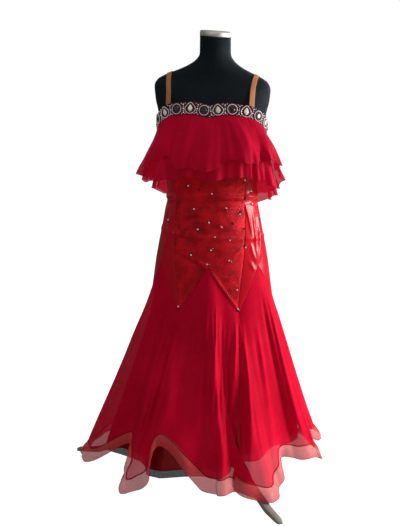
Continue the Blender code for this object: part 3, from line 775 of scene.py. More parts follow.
class Wardrobe:
    """Every finish of the object, made once."""

    def __init__(self) -> None:
        """Makes the materials."""
        effects = Effects()
        # Every glow below is painted light: on the chiffons and the clear braid for light coming through
        # them, on the pale stones and beads for sparkle
        finishes: tuple[Any, ...] = (
            Cloth(
                "form_jersey", (0.0068, 0.0122, 0.0170), 0.66, deep=(0.0045, 0.0082, 0.0118), threads=700.0,
                slub=0.5, bump_depth=0.00025, sheen=0.008, sheen_tint=(0.6, 0.75, 0.9), drift_scale=5.0,
                specular=0.10, dust=0.008,
            ),
            Cloth(
                "glitter_cloth", (0.80, 0.007, 0.017), 0.42, deep=(0.36, 0.003, 0.008), threads=650.0,
                bump_depth=0.0003, drift_scale=30.0, fine=0.9, specks=0.34,
                speck_colour=(1.0, 0.035, 0.08), speck_count=420.0, specular=0.08,
            ),
            Cloth(
                "red_satin", (0.58, 0.004, 0.017), 0.29, deep=(0.46, 0.003, 0.012), threads=1500.0,
                slub=0.15, bump_depth=0.00008, coat=0.14, coat_rough=0.15, drift_scale=7.0, specular=0.12,
            ),
            Cloth(
                "red_chiffon", (0.62, 0.0030, 0.029), 0.60, deep=(0.48, 0.0020, 0.019), threads=800.0,
                slub=0.4, bump_depth=0.0001, opacity=0.925,
                opacity_swing=0.035, drift_scale=5.0, specular=0.02, glow=0.045,
            ),
            Cloth(
                "frill_chiffon", (0.52, 0.0040, 0.032), 0.60, deep=(0.40, 0.0030, 0.022), threads=800.0,
                slub=0.4, bump_depth=0.0001, opacity=0.80,
                opacity_swing=0.06, drift_scale=6.0, specular=0.02, glow=0.09, painted_inside_glow=0.55,
                inside_opacity=0.94,
            ),
            Cloth(
                "rolled_edge", (0.42, 0.003, 0.014), 0.5, deep=(0.28, 0.002, 0.009), threads=1200.0,
                bump_depth=0.0002, drift_scale=20.0, specular=0.12,
            ),
            Cloth(
                "lining_satin", (0.42, 0.0025, 0.010), 0.36, deep=(0.32, 0.002, 0.007), threads=1400.0,
                slub=0.15, bump_depth=0.00008, coat=0.08, coat_rough=0.25, drift_scale=6.0, specular=0.2,
            ),
            Cloth(
                "band_cloth", (0.085, 0.004, 0.010), 0.5, deep=(0.045, 0.002, 0.005), threads=700.0,
                bump_depth=0.0003, drift_scale=30.0, fine=0.8, specks=0.30, speck_colour=(0.5, 0.05, 0.08),
                speck_count=520.0, specular=0.2,
            ),
            Cloth(
                "elastic", (0.56, 0.235, 0.105), 0.6, deep=(0.44, 0.170, 0.070), threads=620.0, slub=0.6,
                bump_depth=0.0004, sheen=0.05, sheen_tint=(1.0, 0.8, 0.6), drift_scale=18.0, specular=0.15,
            ),
            Braid(
                "clear_braid", (0.64, 0.050, 0.055), 0.45, between=0.74, thread_opacity=0.93, specular=0.2,
                glow=0.10,
            ),
            Braid(
                "black_braid", (0.034, 0.030, 0.028), 0.45, fill=0.6, between=0.76, thread_opacity=0.98,
                specular=0.3,
            ),
            Metal("cap_metal", (0.72, 0.70, 0.62), 0.52, streaks=700.0, anisotropic=0.2),
            Metal("pole_metal", (0.56, 0.56, 0.55), 0.28, streaks=1100.0),
            Enamel("stand_paint", (0.21, 0.20, 0.165), 0.42),
            Gem("clear_crystal", (0.90, 0.90, 0.92), 0.08, metallic=0.25, cloud=160.0, glow=0.35),
            Gem("cream_drop", (0.95, 0.86, 0.66), 0.12, metallic=0.10, cloud=90.0, glow=0.12),
            Gem("black_stone", (0.012, 0.009, 0.012), 0.12, coat=0.25, cloud=90.0),
            Gem("dark_setting", (0.030, 0.003, 0.007), 0.35, coat=0.2, cloud=200.0),
            Gem(
                "silver_bead", (0.92, 0.90, 0.90), 0.18, metallic=0.15, cloud=220.0, dark_share=0.7, glow=0.14
            ),
        )
        self.made = {finish.name: finish.make(effects) for finish in finishes}

    def get(self, name: str) -> bpy.types.Material:
        """The material of that name."""
        return self.made[name]


# Meshes


class Workroom:
    """Cuts meshes, gives them their finish and seats them on the frame."""

    def __init__(self) -> None:
        """Finds the pole and makes the finishes."""
        low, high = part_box("stand_pole")
        self.axis = np.array([(low.x + high.x) / 2, (low.y + high.y) / 2, 0.0])
        self.wardrobe = Wardrobe()

    def mesh(
        self,
        name: str,
        points: Any,
        faces: Sequence[Sequence[int]],
        finish: str,
        cut: Numbers | None = None,
        smooth: bool = True,
    ) -> bpy.types.Object:
        """Makes a piece.

        Args:
            name: The piece's name.
            points: Its points about the pole.
            faces: The corners of each face.
            finish: The name of its finish.
            cut: Where each corner of each face lies on the flat cut, in metres.
            smooth: Whether it is shaded smooth.

        Returns:
            The piece.
        """
        points = np.asarray(points).reshape(-1, 3)
        mesh = bpy.data.meshes.new(name)
        mesh.from_pydata((points + self.axis).tolist(), [], faces)
        mesh.materials.append(self.wardrobe.get(finish))
        mesh.polygons.foreach_set("use_smooth", np.full(len(mesh.polygons), smooth))
        layer = mesh.uv_layers.new(name="cut")
        if cut is None:
            corner = np.zeros(len(mesh.loops), np.int32)
            mesh.loops.foreach_get("vertex_index", corner)
            flat = points[corner]
            cut = np.stack([flat[:, 0] + flat[:, 1], flat[:, 2]], axis=-1)
        layer.uv.foreach_set("vector", np.asarray(cut, np.float32).ravel())
        mesh.update()
        piece = bpy.data.objects.new(name, mesh)
        bpy.context.scene.collection.objects.link(piece)
        return piece

    def sheet(
        self, name: str, grid: Numbers, closed: bool, finish: str, thick: float = 0.0, size: Any = None
    ) -> bpy.types.Object:
        """Makes a piece of cloth from a grid of points.

        Args:
            name: The piece's name.
            grid: Rows down the cloth, columns along it.
            closed: Whether it runs right round.
            finish: The name of its finish.
            thick: Its thickness, 0 for a single surface.
            size: The cut's width and length, measured on the grid if left out.

        Returns:
            The piece.
        """
        rows, columns = grid.shape[:2]
        index = np.arange(rows * columns).reshape(rows, columns)
        if closed:
            index = np.concatenate([index, index[:, :1]], axis=1)
        faces = np.stack([index[:-1, :-1], index[1:, :-1], index[1:, 1:], index[:-1, 1:]], axis=-1)
        wide = np.concatenate([grid, grid[:, :1]], axis=1) if closed else grid
        along = steps_along(wide[rows // 2])
        down = steps_along(grid[:, columns // 2])
        if size is not None:
            along = along / along[-1] * size[0]
            down = down / down[-1] * size[1]
        place = np.stack(np.meshgrid(along, -down), axis=-1)
        cut = np.stack([place[:-1, :-1], place[1:, :-1], place[1:, 1:], place[:-1, 1:]], axis=2)
        piece = self.mesh(name, grid, faces.reshape(-1, 4).tolist(), finish, cut.reshape(-1, 2))
        if thick > 0.0:
            shell = piece.modifiers.new("thickness", "SOLIDIFY")
            shell.thickness = thick
            shell.offset = 0.0
            shell.use_even_offset = False
        return piece

    def tube(self, name: str, path: Numbers, radius: float, finish: str, sides: int = 6) -> bpy.types.Object:
        """Makes a round tube along a closed path.

        Args:
            name: The piece's name.
            path: The points it follows.
            radius: Its radius.
            finish: The name of its finish.
            sides: Its faces round.

        Returns:
            The piece.
        """
        ahead = unit(np.roll(path, -1, axis=0) - np.roll(path, 1, axis=0))
        side = unit(np.cross(ahead, np.array([0.0, 0.0, 1.0])) + np.array([1e-9, 0.0, 0.0]))
        up = np.cross(side, ahead)
        spin = (np.arange(sides) * 2 * math.pi / sides)[None, :, None]
        points = path[:, None] + radius * (side[:, None] * np.cos(spin) + up[:, None] * np.sin(spin))
        return self.mesh(name, points, loft_faces(len(path), sides, True), finish)

    def seat(self, piece: bpy.types.Object, nodes: Sequence[str], note: str) -> bpy.types.Object:
        """Rides a piece on the body, hides the nodes that it stands for and logs it.

        Args:
            piece: The piece.
            nodes: The nodes that it replaces.
            note: What the log calls it.

        Returns:
            The piece.
        """
        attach(piece, BODY_NAME)
        if nodes:
            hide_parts(*nodes)
        log.info("%s: %s, %d faces", piece.name, note, len(piece.data.polygons))
        return piece


# Figure


@dataclass(frozen=True)
class Figure:
    """The sections of the form and of the dress that lies on it."""

    # Columns: height, half width, front depth, back depth, power of the section's curve
    body: Table = (
        (1.470, 0.0490, 0.050, 0.050, 2.0),
        (1.402, 0.0500, 0.051, 0.051, 2.0),
        (1.384, 0.0600, 0.054, 0.055, 2.0),
        (1.366, 0.0830, 0.058, 0.060, 2.0),
        (1.350, 0.1150, 0.060, 0.064, 2.1),
        (1.334, 0.1530, 0.064, 0.068, 2.2),
        (1.318, 0.1780, 0.070, 0.073, 2.4),
        (1.298, 0.1870, 0.081, 0.080, 2.6),
        (1.256, 0.1830, 0.099, 0.090, 2.6),
        (1.218, 0.1745, 0.113, 0.095, 2.5),
        (1.170, 0.1705, 0.125, 0.098, 2.4),
        (1.120, 0.1650, 0.127, 0.097, 2.3),
        (1.050, 0.1535, 0.113, 0.091, 2.2),
        (0.960, 0.1440, 0.100, 0.089, 2.2),
        (0.880, 0.1560, 0.108, 0.104, 2.2),
        (0.800, 0.1720, 0.117, 0.121, 2.2),
        (0.730, 0.1850, 0.125, 0.130, 2.2),
        (0.660, 0.1950, 0.133, 0.137, 2.2),
        (0.590, 0.2050, 0.142, 0.146, 2.2),
        (0.530, 0.2140, 0.151, 0.155, 2.2),
    )
    lean: float = -0.035
    lean_heights: tuple[float, float] = (1.14, 1.30)
    neck_slope: tuple[float, float] = (-0.045, 0.070)
    neck_slope_heights: tuple[float, float] = (1.400, 1.455)
    neck_aside: float = 0.009
    neck_aside_heights: tuple[float, float] = (1.30, 1.40)
    neck_line: Table = (
        (0, 1.246), (26, 1.255), (50, 1.248), (72, 1.216), (92, 1.180), (125, 1.120), (180, 1.085)
    )

    def lifted(self, x: Any, y: Any, z: Any) -> Numbers:
        """Adds the slopes of the shoulders and of the neck's top.

        Args:
            x: How far to the right.
            y: How far back.
            z: Heights.

        Returns:
            The points.
        """
        z = np.asarray(z, float)
        lean = self.lean * smooth_step(z, *self.lean_heights)
        neck = smooth_step(z, *self.neck_slope_heights)
        rise = (lean + self.neck_slope[0] * neck) * x + self.neck_slope[1] * neck * y
        aside = self.neck_aside * smooth_step(z, *self.neck_aside_heights)
        return np.stack(np.broadcast_arrays(x + aside, y, z + rise), axis=-1)

    def section(self, z: Any) -> list[Numbers]:
        """Half width, front depth, back depth and power of the figure at a height."""
        heights = column(self.body, 0)
        return [through(heights, column(self.body, k), z) for k in range(1, len(self.body[0]))]

    def at(self, turn: Any, z: Any, out: Any = 0.0) -> Numbers:
        """Points of the figure.

        Args:
            turn: Turns in degrees.
            z: Heights.
            out: How far level from the figure's surface.

        Returns:
            The points.
        """
        turn, z = np.broadcast_arrays(np.radians(turn), np.asarray(z, float))
        half, front, back, power = self.section(z)
        depth = np.where(np.cos(turn) > 0, front, back)
        across, ahead = np.abs(np.sin(turn) / half), np.abs(np.cos(turn) / depth)
        reach = (across**power + ahead**power) ** (-1 / power)
        return self.lifted((reach + out) * np.sin(turn), -(reach + out) * np.cos(turn), z)

    def neckline(self, turn: Any) -> Numbers:
        """Height of the band's top edge."""
        away = np.abs((np.asarray(turn, float) + 180.0) % FULL_TURN - 180.0)
        return through(column(self.neck_line, 0), column(self.neck_line, 1), away)

    def at_x(self, x: float, z: float, front: bool) -> Numbers:
        """Finds a point of the figure by its sideways place.

        Args:
            x: How far to the right.
            z: Its height.
            front: Whether it is in front or behind.

        Returns:
            The point, without the slopes.
        """
        half, fore, aft, power = (float(v) for v in self.section(z))
        reach = max(0.0, 1.0 - (x / half) ** power) ** (1 / power)
        return np.array([x, -(fore * reach) if front else aft * reach, z])


FIGURE = Figure()


def line_share(at: Numbers, line: Numbers, width: Any) -> Numbers:
    """How near points of a flat are to a line of points, 1 on it and falling softly.

    Args:
        at: Points on the flat, in metres.
        line: The line's points.
        width: How far it reaches, in metres.

    Returns:
        The share at each point, smaller towards the line's ends.
    """
    best = np.full(at.shape[:-1], np.inf)
    along = np.zeros(at.shape[:-1])
    lengths = steps_along(line)
    for k in range(len(line) - 1):
        step = line[k + 1] - line[k]
        share = np.clip(((at - line[k]) @ step) / (step @ step), 0.0, 1.0)
        apart = np.linalg.norm(at - line[k] - share[..., None] * step, axis=-1)
        nearer = apart < best
        best = np.where(nearer, apart, best)
        along = np.where(nearer, (lengths[k] + share * (lengths[k + 1] - lengths[k])) / lengths[-1], along)
    ends = np.sin(math.pi * np.clip(along * 0.94 + 0.03, 0.0, 1.0)) ** 0.5
    return np.exp(-((best / width) ** 2)) * ends


@dataclass(frozen=True)
class DressForm:
    """The limbless form: a jersey-covered body and the metal disc on its neck."""

    neck_top: float = 1.455
    bottom: float = 0.757
    edge: float = 0.008
    edge_steps: tuple[float, ...] = (0.2, 0.4, 0.6, 0.8, 0.95, 1.0)
    columns: int = 144
    rows: int = 110
    cap_radius: float = 0.0500
    cap_thick: float = 0.017
    cap_bevel: float = 0.004
    cap_sides: int = 96

    def build(self, room: Workroom) -> None:
        """Builds the body and the cap."""
        self.build_body(room)
        self.build_cap(room)

    def build_body(self, room: Workroom) -> None:
        """The body, closed above and below.

        Args:
            room: The workroom.
        """
        turns = np.arange(self.columns) * FULL_TURN / self.columns
        heights = np.linspace(self.neck_top, self.bottom + self.edge, self.rows)
        grid = FIGURE.at(turns[None, :], heights[:, None])
        low = grid[-1]
        away = unit(low * np.array([1.0, 1.0, 0.0]))
        rounds = []
        for share in self.edge_steps:
            ring = low - away * self.edge * (1 - math.sqrt(1 - share**2))
            rounds.append(ring - np.array([0.0, 0.0, self.edge * share]))
        under = [rounds[-1] * np.array([s, s, 1.0]) for s in (0.75, 0.5, 0.25, 0.02)]
        aside = np.array([FIGURE.neck_aside, 0.0, 0.0])
        crown = [grid[0] * np.array([s, s, 1.0]) + aside * (1 - s) for s in (0.02, 0.5, 0.93)]
        body = np.concatenate([np.array(crown), grid, np.array(rounds), np.array(under)])
        piece = room.sheet("form_cover", body, True, "form_jersey")
        room.seat(piece, ["form_body"], "jersey body")

    def build_cap(self, room: Workroom) -> None:
        """The disc on the neck, turned with a stepped top and a small button.

        Args:
            room: The workroom.
        """
        slope_x, slope_y = FIGURE.lean + FIGURE.neck_slope[0], FIGURE.neck_slope[1]
        up = unit(np.array([-slope_x, -slope_y, 1.0]))
        across = unit(np.cross(np.array([0.0, 1.0, 0.0]), up))
        ahead = np.cross(up, across)
        bevel, thick, radius = self.cap_bevel, self.cap_thick, self.cap_radius
        profile = (
            (0.0005, 0.0), (radius - bevel * 0.6, 0.0), (radius - 0.0008, 0.0007), (radius, bevel * 0.5),
            (radius, thick - bevel), (radius - bevel * 0.30, thick - bevel * 0.30), (radius - bevel, thick),
            (radius * 0.80, thick), (radius * 0.79, thick - 0.0008), (radius * 0.20, thick - 0.0008),
            (radius * 0.19, thick + 0.0002), (radius * 0.10, thick + 0.0006), (0.0005, thick + 0.0007),
        )
        base = np.array([FIGURE.neck_aside, 0.0, self.neck_top]) + up * SEAM_GAP
        spin = np.arange(self.cap_sides) * 2 * math.pi / self.cap_sides
        ring = across * np.cos(spin)[:, None] + ahead * np.sin(spin)[:, None]
        rows = [base + ring * out + up * rise for out, rise in reversed(profile)]
        piece = room.sheet("neck_disc", np.array(rows)[:, ::-1], True, "cap_metal")
        room.seat(piece, ["neck_cap"], "turned disc")


@dataclass(frozen=True)
class Stand:
    """Pole, hub and three arched legs."""

    pole_radius: float = 0.014
    pole_top: float = 0.7567
    hub_radius: float = 0.032
    hub_low: float = 0.058
    hub_high: float = 0.128
    leg_turns: tuple[float, ...] = (31.0, 151.0, 271.0)
    # Columns: radius, underside, topside, half width
    leg: Table = (
        (0.0323, 0.070, 0.090, 0.015),
        (0.120, 0.064, 0.081, 0.0155),
        (0.220, 0.046, 0.061, 0.0155),
        (0.310, 0.026, 0.040, 0.015),
        (0.380, 0.010, 0.023, 0.0145),
        (0.420, 0.000, 0.0145, 0.014),
        (0.480, 0.000, 0.010, 0.012),
        (0.491, 0.000, 0.007, 0.007),
    )
    # Columns: share of the half width, share of the height
    leg_shape: Table = (
        (-0.86, 0.0), (0.86, 0.0), (1.0, 0.16), (1.0, 0.62), (0.90, 0.86), (0.62, 0.98), (0.0, 1.0),
        (-0.62, 0.98), (-0.90, 0.86), (-1.0, 0.62), (-1.0, 0.16),
    )
    leg_steps: int = 40
    leg_crease: float = 50.0
    sides: int = 64

    def build(self, room: Workroom) -> None:
        """Builds the stand's pieces.

        Args:
            room: The workroom.
        """
        self.build_pole(room)
        self.build_hub(room)
        for number, turn in enumerate(self.leg_turns, start=1):
            self.build_leg(room, number, turn)

    def lathe(self, room: Workroom, name: str, profile: Table, finish: str) -> bpy.types.Object:
        """Turns a piece about the pole.

        Args:
            room: The workroom.
            name: The piece's name.
            profile: Radii and heights, top first.
            finish: The name of its finish.

        Returns:
            The piece.
        """
        spin = np.arange(self.sides) * 2 * math.pi / self.sides
        ring = np.stack([np.sin(spin), -np.cos(spin), np.zeros(self.sides)], axis=-1)
        rows = [ring * out + np.array([0.0, 0.0, z]) for out, z in profile]
        return room.sheet(name, np.array(rows), True, finish)

    def build_pole(self, room: Workroom) -> None:
        """The pole with a narrow collar where it goes into the hub.

        Args:
            room: The workroom.
        """
        r, low = self.pole_radius, self.hub_high + SEAM_GAP
        profile = (
            (0.0005, self.pole_top), (r - 0.001, self.pole_top), (r, self.pole_top - 0.001), (r, 0.55),
            (r, 0.40), (r, 0.25), (r, low + 0.020), (r + 0.0005, low + 0.0195), (r + 0.0005, low + 0.001),
            (r - 0.0005, low), (0.0005, low),
        )
        piece = self.lathe(room, "pole_tube", profile, "pole_metal")
        room.seat(piece, ["stand_pole"], "pole")

    def build_hub(self, room: Workroom) -> None:
        """The hub that the legs are fixed in.

        Args:
            room: The workroom.
        """
        r, low, high = self.hub_radius, self.hub_low, self.hub_high
        profile = (
            (0.0005, high), (r - 0.010, high), (r - 0.007, high - 0.001), (r - 0.0015, high - 0.004),
            (r, high - 0.009), (r, high - 0.020), (r - 0.001, high - 0.0205), (r - 0.001, high - 0.0225),
            (r, high - 0.023), (r, low + 0.008), (r - 0.0015, low + 0.004), (r - 0.005, low), (0.0005, low),
        )
        piece = self.lathe(room, "hub_cast", profile, "stand_paint")
        room.seat(piece, ["stand_hub"], "hub")

    def build_leg(self, room: Workroom, number: int, turn: float) -> None:
        """Builds an arched leg with rounded edges, flat on the floor at its end.

        Args:
            room: The workroom.
            number: Which leg, from 1.
            turn: Where it points, in degrees.
        """
        out = np.array([math.sin(math.radians(turn)), -math.cos(math.radians(turn)), 0.0])
        side = np.array([-out[1], out[0], 0.0])
        up = np.array([0.0, 0.0, 1.0])
        radii = column(self.leg, 0)
        tip = radii[-2] + (radii[-1] - radii[-2]) * np.array([0.4, 0.75, 1.0])
        reach = np.concatenate([np.linspace(radii[0], radii[-2], self.leg_steps), tip])
        low, high, half = (through(radii, column(self.leg, k), reach) for k in (1, 2, 3))
        rows = []
        for r, a, b, w in zip(reach, low, high, half):
            rows.append([out * r + side * w * s + up * (a + (b - a) * t) for s, t in self.leg_shape])
        faces = loft_faces(len(rows), len(self.leg_shape), False)
        piece = room.mesh(f"leg_{number}", rows, faces, "stand_paint")
        piece.data.set_sharp_from_angle(angle=math.radians(self.leg_crease))
        room.seat(piece, [f"stand_leg_{number}"], "leg")


@dataclass(frozen=True)
class Bodice:
    """Six long panels from the neckline to the points over the skirt."""

    princess: Table = ((1.26, 44.0), (1.10, 54.0), (0.95, 58.0), (0.82, 56.0), (0.70, 51.0), (0.58, 37.0))
    back_seam: Table = ((1.26, 138.0), (0.95, 132.0), (0.75, 138.0), (0.58, 147.0))
    side_seam: float = 90.0
    point_turns: tuple[float, ...] = (-37.0, 37.0, 90.0, 147.0, 213.0, 270.0)
    point_heights: tuple[float, ...] = (0.585, 0.585, 0.605, 0.590, 0.590, 0.605)
    apex_turns: tuple[float, ...] = (0.0, 63.5, 118.5, 180.0, 241.5, 296.5)
    apex_heights: tuple[float, ...] = (0.735, 0.730, 0.735, 0.745, 0.735, 0.730)
    below_band_top: float = 0.0015
    rows: int = 150
    columns: tuple[int, ...] = (96, 52, 56, 84, 56, 52)
    seam_roll: float = 0.0006
    seam_reach: float = 0.0035
    seam_fade: float = 0.010
    # Depth, waves by height, their slant by turn, and how far they reach from a seam
    pucker: tuple[float, ...] = (0.0004, 520.0, 0.3, 0.006)
    lift_range: tuple[float, float] = (-0.0026, 0.0058)
    flat_radius: float = 0.155
    # Columns: width and length of the cut, and its flat area
    cuts: Table = (
        (0.34, 0.68, 0.142), (0.17, 0.66, 0.064), (0.17, 0.62, 0.064), (0.26, 0.56, 0.082),
        (0.17, 0.62, 0.064), (0.17, 0.66, 0.064),
    )
    # Columns: lift, reach, then turns and heights along the crease in pairs
    creases: Table = (
        (0.0024, 0.006, -44.0, 0.950, -20.0, 0.962, 3.5, 0.964, 39.0, 0.960, 56.5, 0.948),
        (-0.0018, 0.007, -46.0, 0.938, -18.0, 0.948, 6.0, 0.950, 38.0, 0.945, 54.0, 0.936),
        (0.0018, 0.006, -44.5, 0.890, -21.5, 0.900, -5.0, 0.898),
        (-0.0014, 0.007, -44.0, 0.878, -22.0, 0.887, -2.0, 0.884),
        (0.0028, 0.006, -54.0, 0.788, -33.5, 0.768, -7.5, 0.742, 11.0, 0.696, 31.5, 0.616, 37.5, 0.590),
        (-0.0018, 0.007, -50.0, 0.776, -32.0, 0.754, -8.0, 0.726, 8.0, 0.684, 27.0, 0.612),
        (0.0020, 0.005, 52.0, 0.802, 31.5, 0.760),
        (0.0030, 0.005, 57.0, 0.930, 60.0, 0.880, 62.0, 0.830),
        (0.0028, 0.005, 68.0, 0.900, 67.0, 0.850, 65.0, 0.800, 64.0, 0.745),
        (-0.0020, 0.005, 72.0, 0.890, 71.0, 0.840, 68.0, 0.780),
        (0.0026, 0.006, 80.0, 0.905, 76.0, 0.850, 70.0, 0.790, 66.0, 0.745),
        (0.0026, 0.006, 58.0, 0.800, 60.0, 0.770, 62.5, 0.738),
        (0.0024, 0.006, 55.0, 0.745, 58.0, 0.720, 61.0, 0.715),
        (0.0022, 0.006, -60.0, 0.900, -64.0, 0.840, -64.5, 0.780),
        (-0.0018, 0.006, -66.0, 0.905, -69.0, 0.850, -67.0, 0.790),
        (0.0016, 0.008, 14.0, 0.930, 30.0, 0.918, 50.0, 0.925),
        (-0.0014, 0.008, -30.0, 0.850, -8.0, 0.838, 12.0, 0.842),
        (0.0016, 0.009, -38.0, 0.826, -20.0, 0.815, 2.0, 0.818),
        (0.0014, 0.010, 18.0, 0.872, 34.0, 0.858, 48.0, 0.862),
        (0.0028, 0.008, 60.0, 0.960, 72.0, 0.948, 86.0, 0.952),
        (-0.0025, 0.008, 60.0, 0.944, 74.0, 0.930, 86.0, 0.934),
        (0.0031, 0.007, 74.0, 0.840, 70.0, 0.790, 66.0, 0.752),
        (0.0028, 0.008, -60.0, 0.955, -74.0, 0.940, -86.0, 0.946),
        (-0.0025, 0.008, -60.0, 0.936, -74.0, 0.922, -88.0, 0.928),
        (0.0031, 0.007, -58.0, 0.850, -62.0, 0.800, -64.0, 0.755),
        (0.0028, 0.007, -72.0, 0.850, -68.0, 0.800, -66.0, 0.758),
        (-0.0022, 0.007, -84.0, 0.830, -74.0, 0.785, -70.0, 0.758),
        (0.0031, 0.008, 96.0, 0.960, 112.0, 0.950, 128.0, 0.956),
        (-0.0025, 0.008, 98.0, 0.942, 112.0, 0.930, 126.0, 0.936),
        (0.0031, 0.008, 104.0, 0.850, 112.0, 0.800, 117.0, 0.760),
        (0.0028, 0.008, 132.0, 0.840, 124.0, 0.790, 120.0, 0.762),
        (0.0031, 0.008, 142.0, 0.950, 165.0, 0.962, 190.0, 0.958, 215.0, 0.948),
        (-0.0028, 0.008, 144.0, 0.932, 168.0, 0.944, 192.0, 0.940, 212.0, 0.930),
        (0.0025, 0.008, 152.0, 0.905, 172.0, 0.912, 188.0, 0.908),
        (0.0028, 0.008, 160.0, 0.850, 172.0, 0.810, 178.0, 0.775),
        (0.0028, 0.008, 204.0, 0.845, 190.0, 0.806, 183.0, 0.775),
        (0.0031, 0.008, 232.0, 0.955, 248.0, 0.948, 264.0, 0.954),
        (-0.0025, 0.008, 234.0, 0.937, 250.0, 0.930, 262.0, 0.936),
        (0.0028, 0.008, 228.0, 0.846, 236.0, 0.800, 240.0, 0.762),
        (0.0028, 0.008, 256.0, 0.842, 248.0, 0.798, 244.0, 0.762),
    )

    def build(self, room: Workroom) -> None:
        """Builds the six panels.

        Args:
            room: The workroom.
        """
        front_left, front_right = self.princess_turn(-1), self.princess_turn(1)
        back_right, back_left = self.back_turn(1), self.back_turn(-1)
        left, right, right_round = self.side_turn(-1), self.side_turn(1), self.side_turn(-1, FULL_TURN)
        panels = (
            ("panel_centre_front", "panel_front", front_left, front_right, "glitter_cloth"),
            ("panel_right_front", "panel_side_front_right", front_right, right, "red_satin"),
            ("panel_right_back", "panel_side_back_right", right, back_right, "red_satin"),
            ("panel_centre_back", "panel_back", back_right, back_left, "red_satin"),
            ("panel_left_back", "panel_side_back_left", back_left, right_round, "red_satin"),
            ("panel_left_front", "panel_side_front_left", left, front_left, "red_satin"),
        )
        for (name, node, first, last, finish), columns, cut in zip(panels, self.columns, self.cuts):
            grid = self.creased(*self.panel(first, last, columns))
            piece = room.sheet(name, grid, False, finish, CLOTH * 0.8, cut[:2])
            room.seat(piece, [node], "panel")

    def princess_turn(self, hand: int) -> Any:
        """Turn of a princess seam by height."""
        return lambda z: hand * through(column(self.princess, 0), column(self.princess, 1), z)

    def side_turn(self, hand: int, lap: float = 0.0) -> Any:
        """Turn of a side seam by height."""
        return lambda z: lap + hand * self.side_seam + 0.0 * np.asarray(z, float)

    def back_turn(self, hand: int) -> Any:
        """Turn of a back seam by height."""
        lap = 0.0 if hand > 0 else FULL_TURN
        return lambda z: lap + hand * through(column(self.back_seam, 0), column(self.back_seam, 1), z)

    def zigzag(self, turn: Any) -> Numbers:
        """Finds the height of the panels' lower edge.

        Args:
            turn: Turns in degrees.

        Returns:
            The heights.
        """
        turns, heights = [], []
        for k in range(len(self.point_turns)):
            turns += [self.point_turns[k], self.apex_turns[k]]
            heights += [self.point_heights[k], self.apex_heights[k]]
        turns.append(self.point_turns[0] + FULL_TURN)
        heights.append(self.point_heights[0])
        lap = (np.asarray(turn, float) - self.point_turns[0]) % FULL_TURN + self.point_turns[0]
        return np.interp(lap, turns, heights)

    def panel(self, left: Any, right: Any, columns: int) -> tuple[Numbers, Numbers, Numbers]:
        """Points of one panel between two seams.

        Args:
            left: Turn of its left seam by height.
            right: Turn of its right seam by height.
            columns: How many columns it has.

        Returns:
            Its points, their turns and their heights.
        """
        share = np.linspace(0.0, 1.0, columns + 1)[None, :]
        down = np.linspace(0.0, 1.0, self.rows + 1)[:, None]
        foot = left(0.0) + share * (right(0.0) - left(0.0))
        low = self.zigzag(foot)
        turn = foot + 0.0 * down
        for _ in range(4):
            top = FIGURE.neckline(turn) - self.below_band_top
            z = top + (low - top) * down
            between = left(z) + share * (right(z) - left(z))
            turn = between + (foot - between) * down**3
        grid = FIGURE.at(turn, z, EASE + CLOTH / 2)
        for edge, inner in ((0, 1), (-1, -2)):
            grid[:, edge] += unit(grid[:, inner] - grid[:, edge]) * SEAM_GAP / 2
        return grid, turn, z

    def creased(self, grid: Numbers, turn: Numbers, z: Numbers) -> Numbers:
        """Adds a panel's creases and rolls its edges in to the seams.

        Args:
            grid: The panel's points.
            turn: Their turns.
            z: Their heights.

        Returns:
            The creased panel.
        """
        flat = np.stack([np.radians(turn) * self.flat_radius, z], axis=-1)
        lift = np.zeros(z.shape)
        for crease in self.creases:
            turns = np.array(crease[2::2])
            if turn.min() > 180.0:
                turns = np.where(turns < 0.0, turns + FULL_TURN, turns)
            elif turn.max() < 100.0:
                turns = np.where(turns > 200.0, turns - FULL_TURN, turns)
            line = np.stack([np.radians(turns) * self.flat_radius, np.array(crease[3::2])], axis=-1)
            lift += crease[0] * line_share(flat, line, crease[1])
        along = np.cumsum(np.linalg.norm(np.diff(grid, axis=1, prepend=grid[:, :1]), axis=-1), axis=1)
        edge = np.minimum(along, along[:, -1:] - along)
        lift *= smooth_step(edge, 0.0, self.seam_fade)
        lift -= self.seam_roll * np.exp(-((edge / self.seam_reach) ** 2))
        depth, per_metre, slant, reach = self.pucker
        ripple = depth * np.sin(z * per_metre + turn * slant) * np.exp(-((edge / reach) ** 2))
        return grid + grid_normals(grid, False) * np.clip(lift + ripple, *self.lift_range)[..., None]


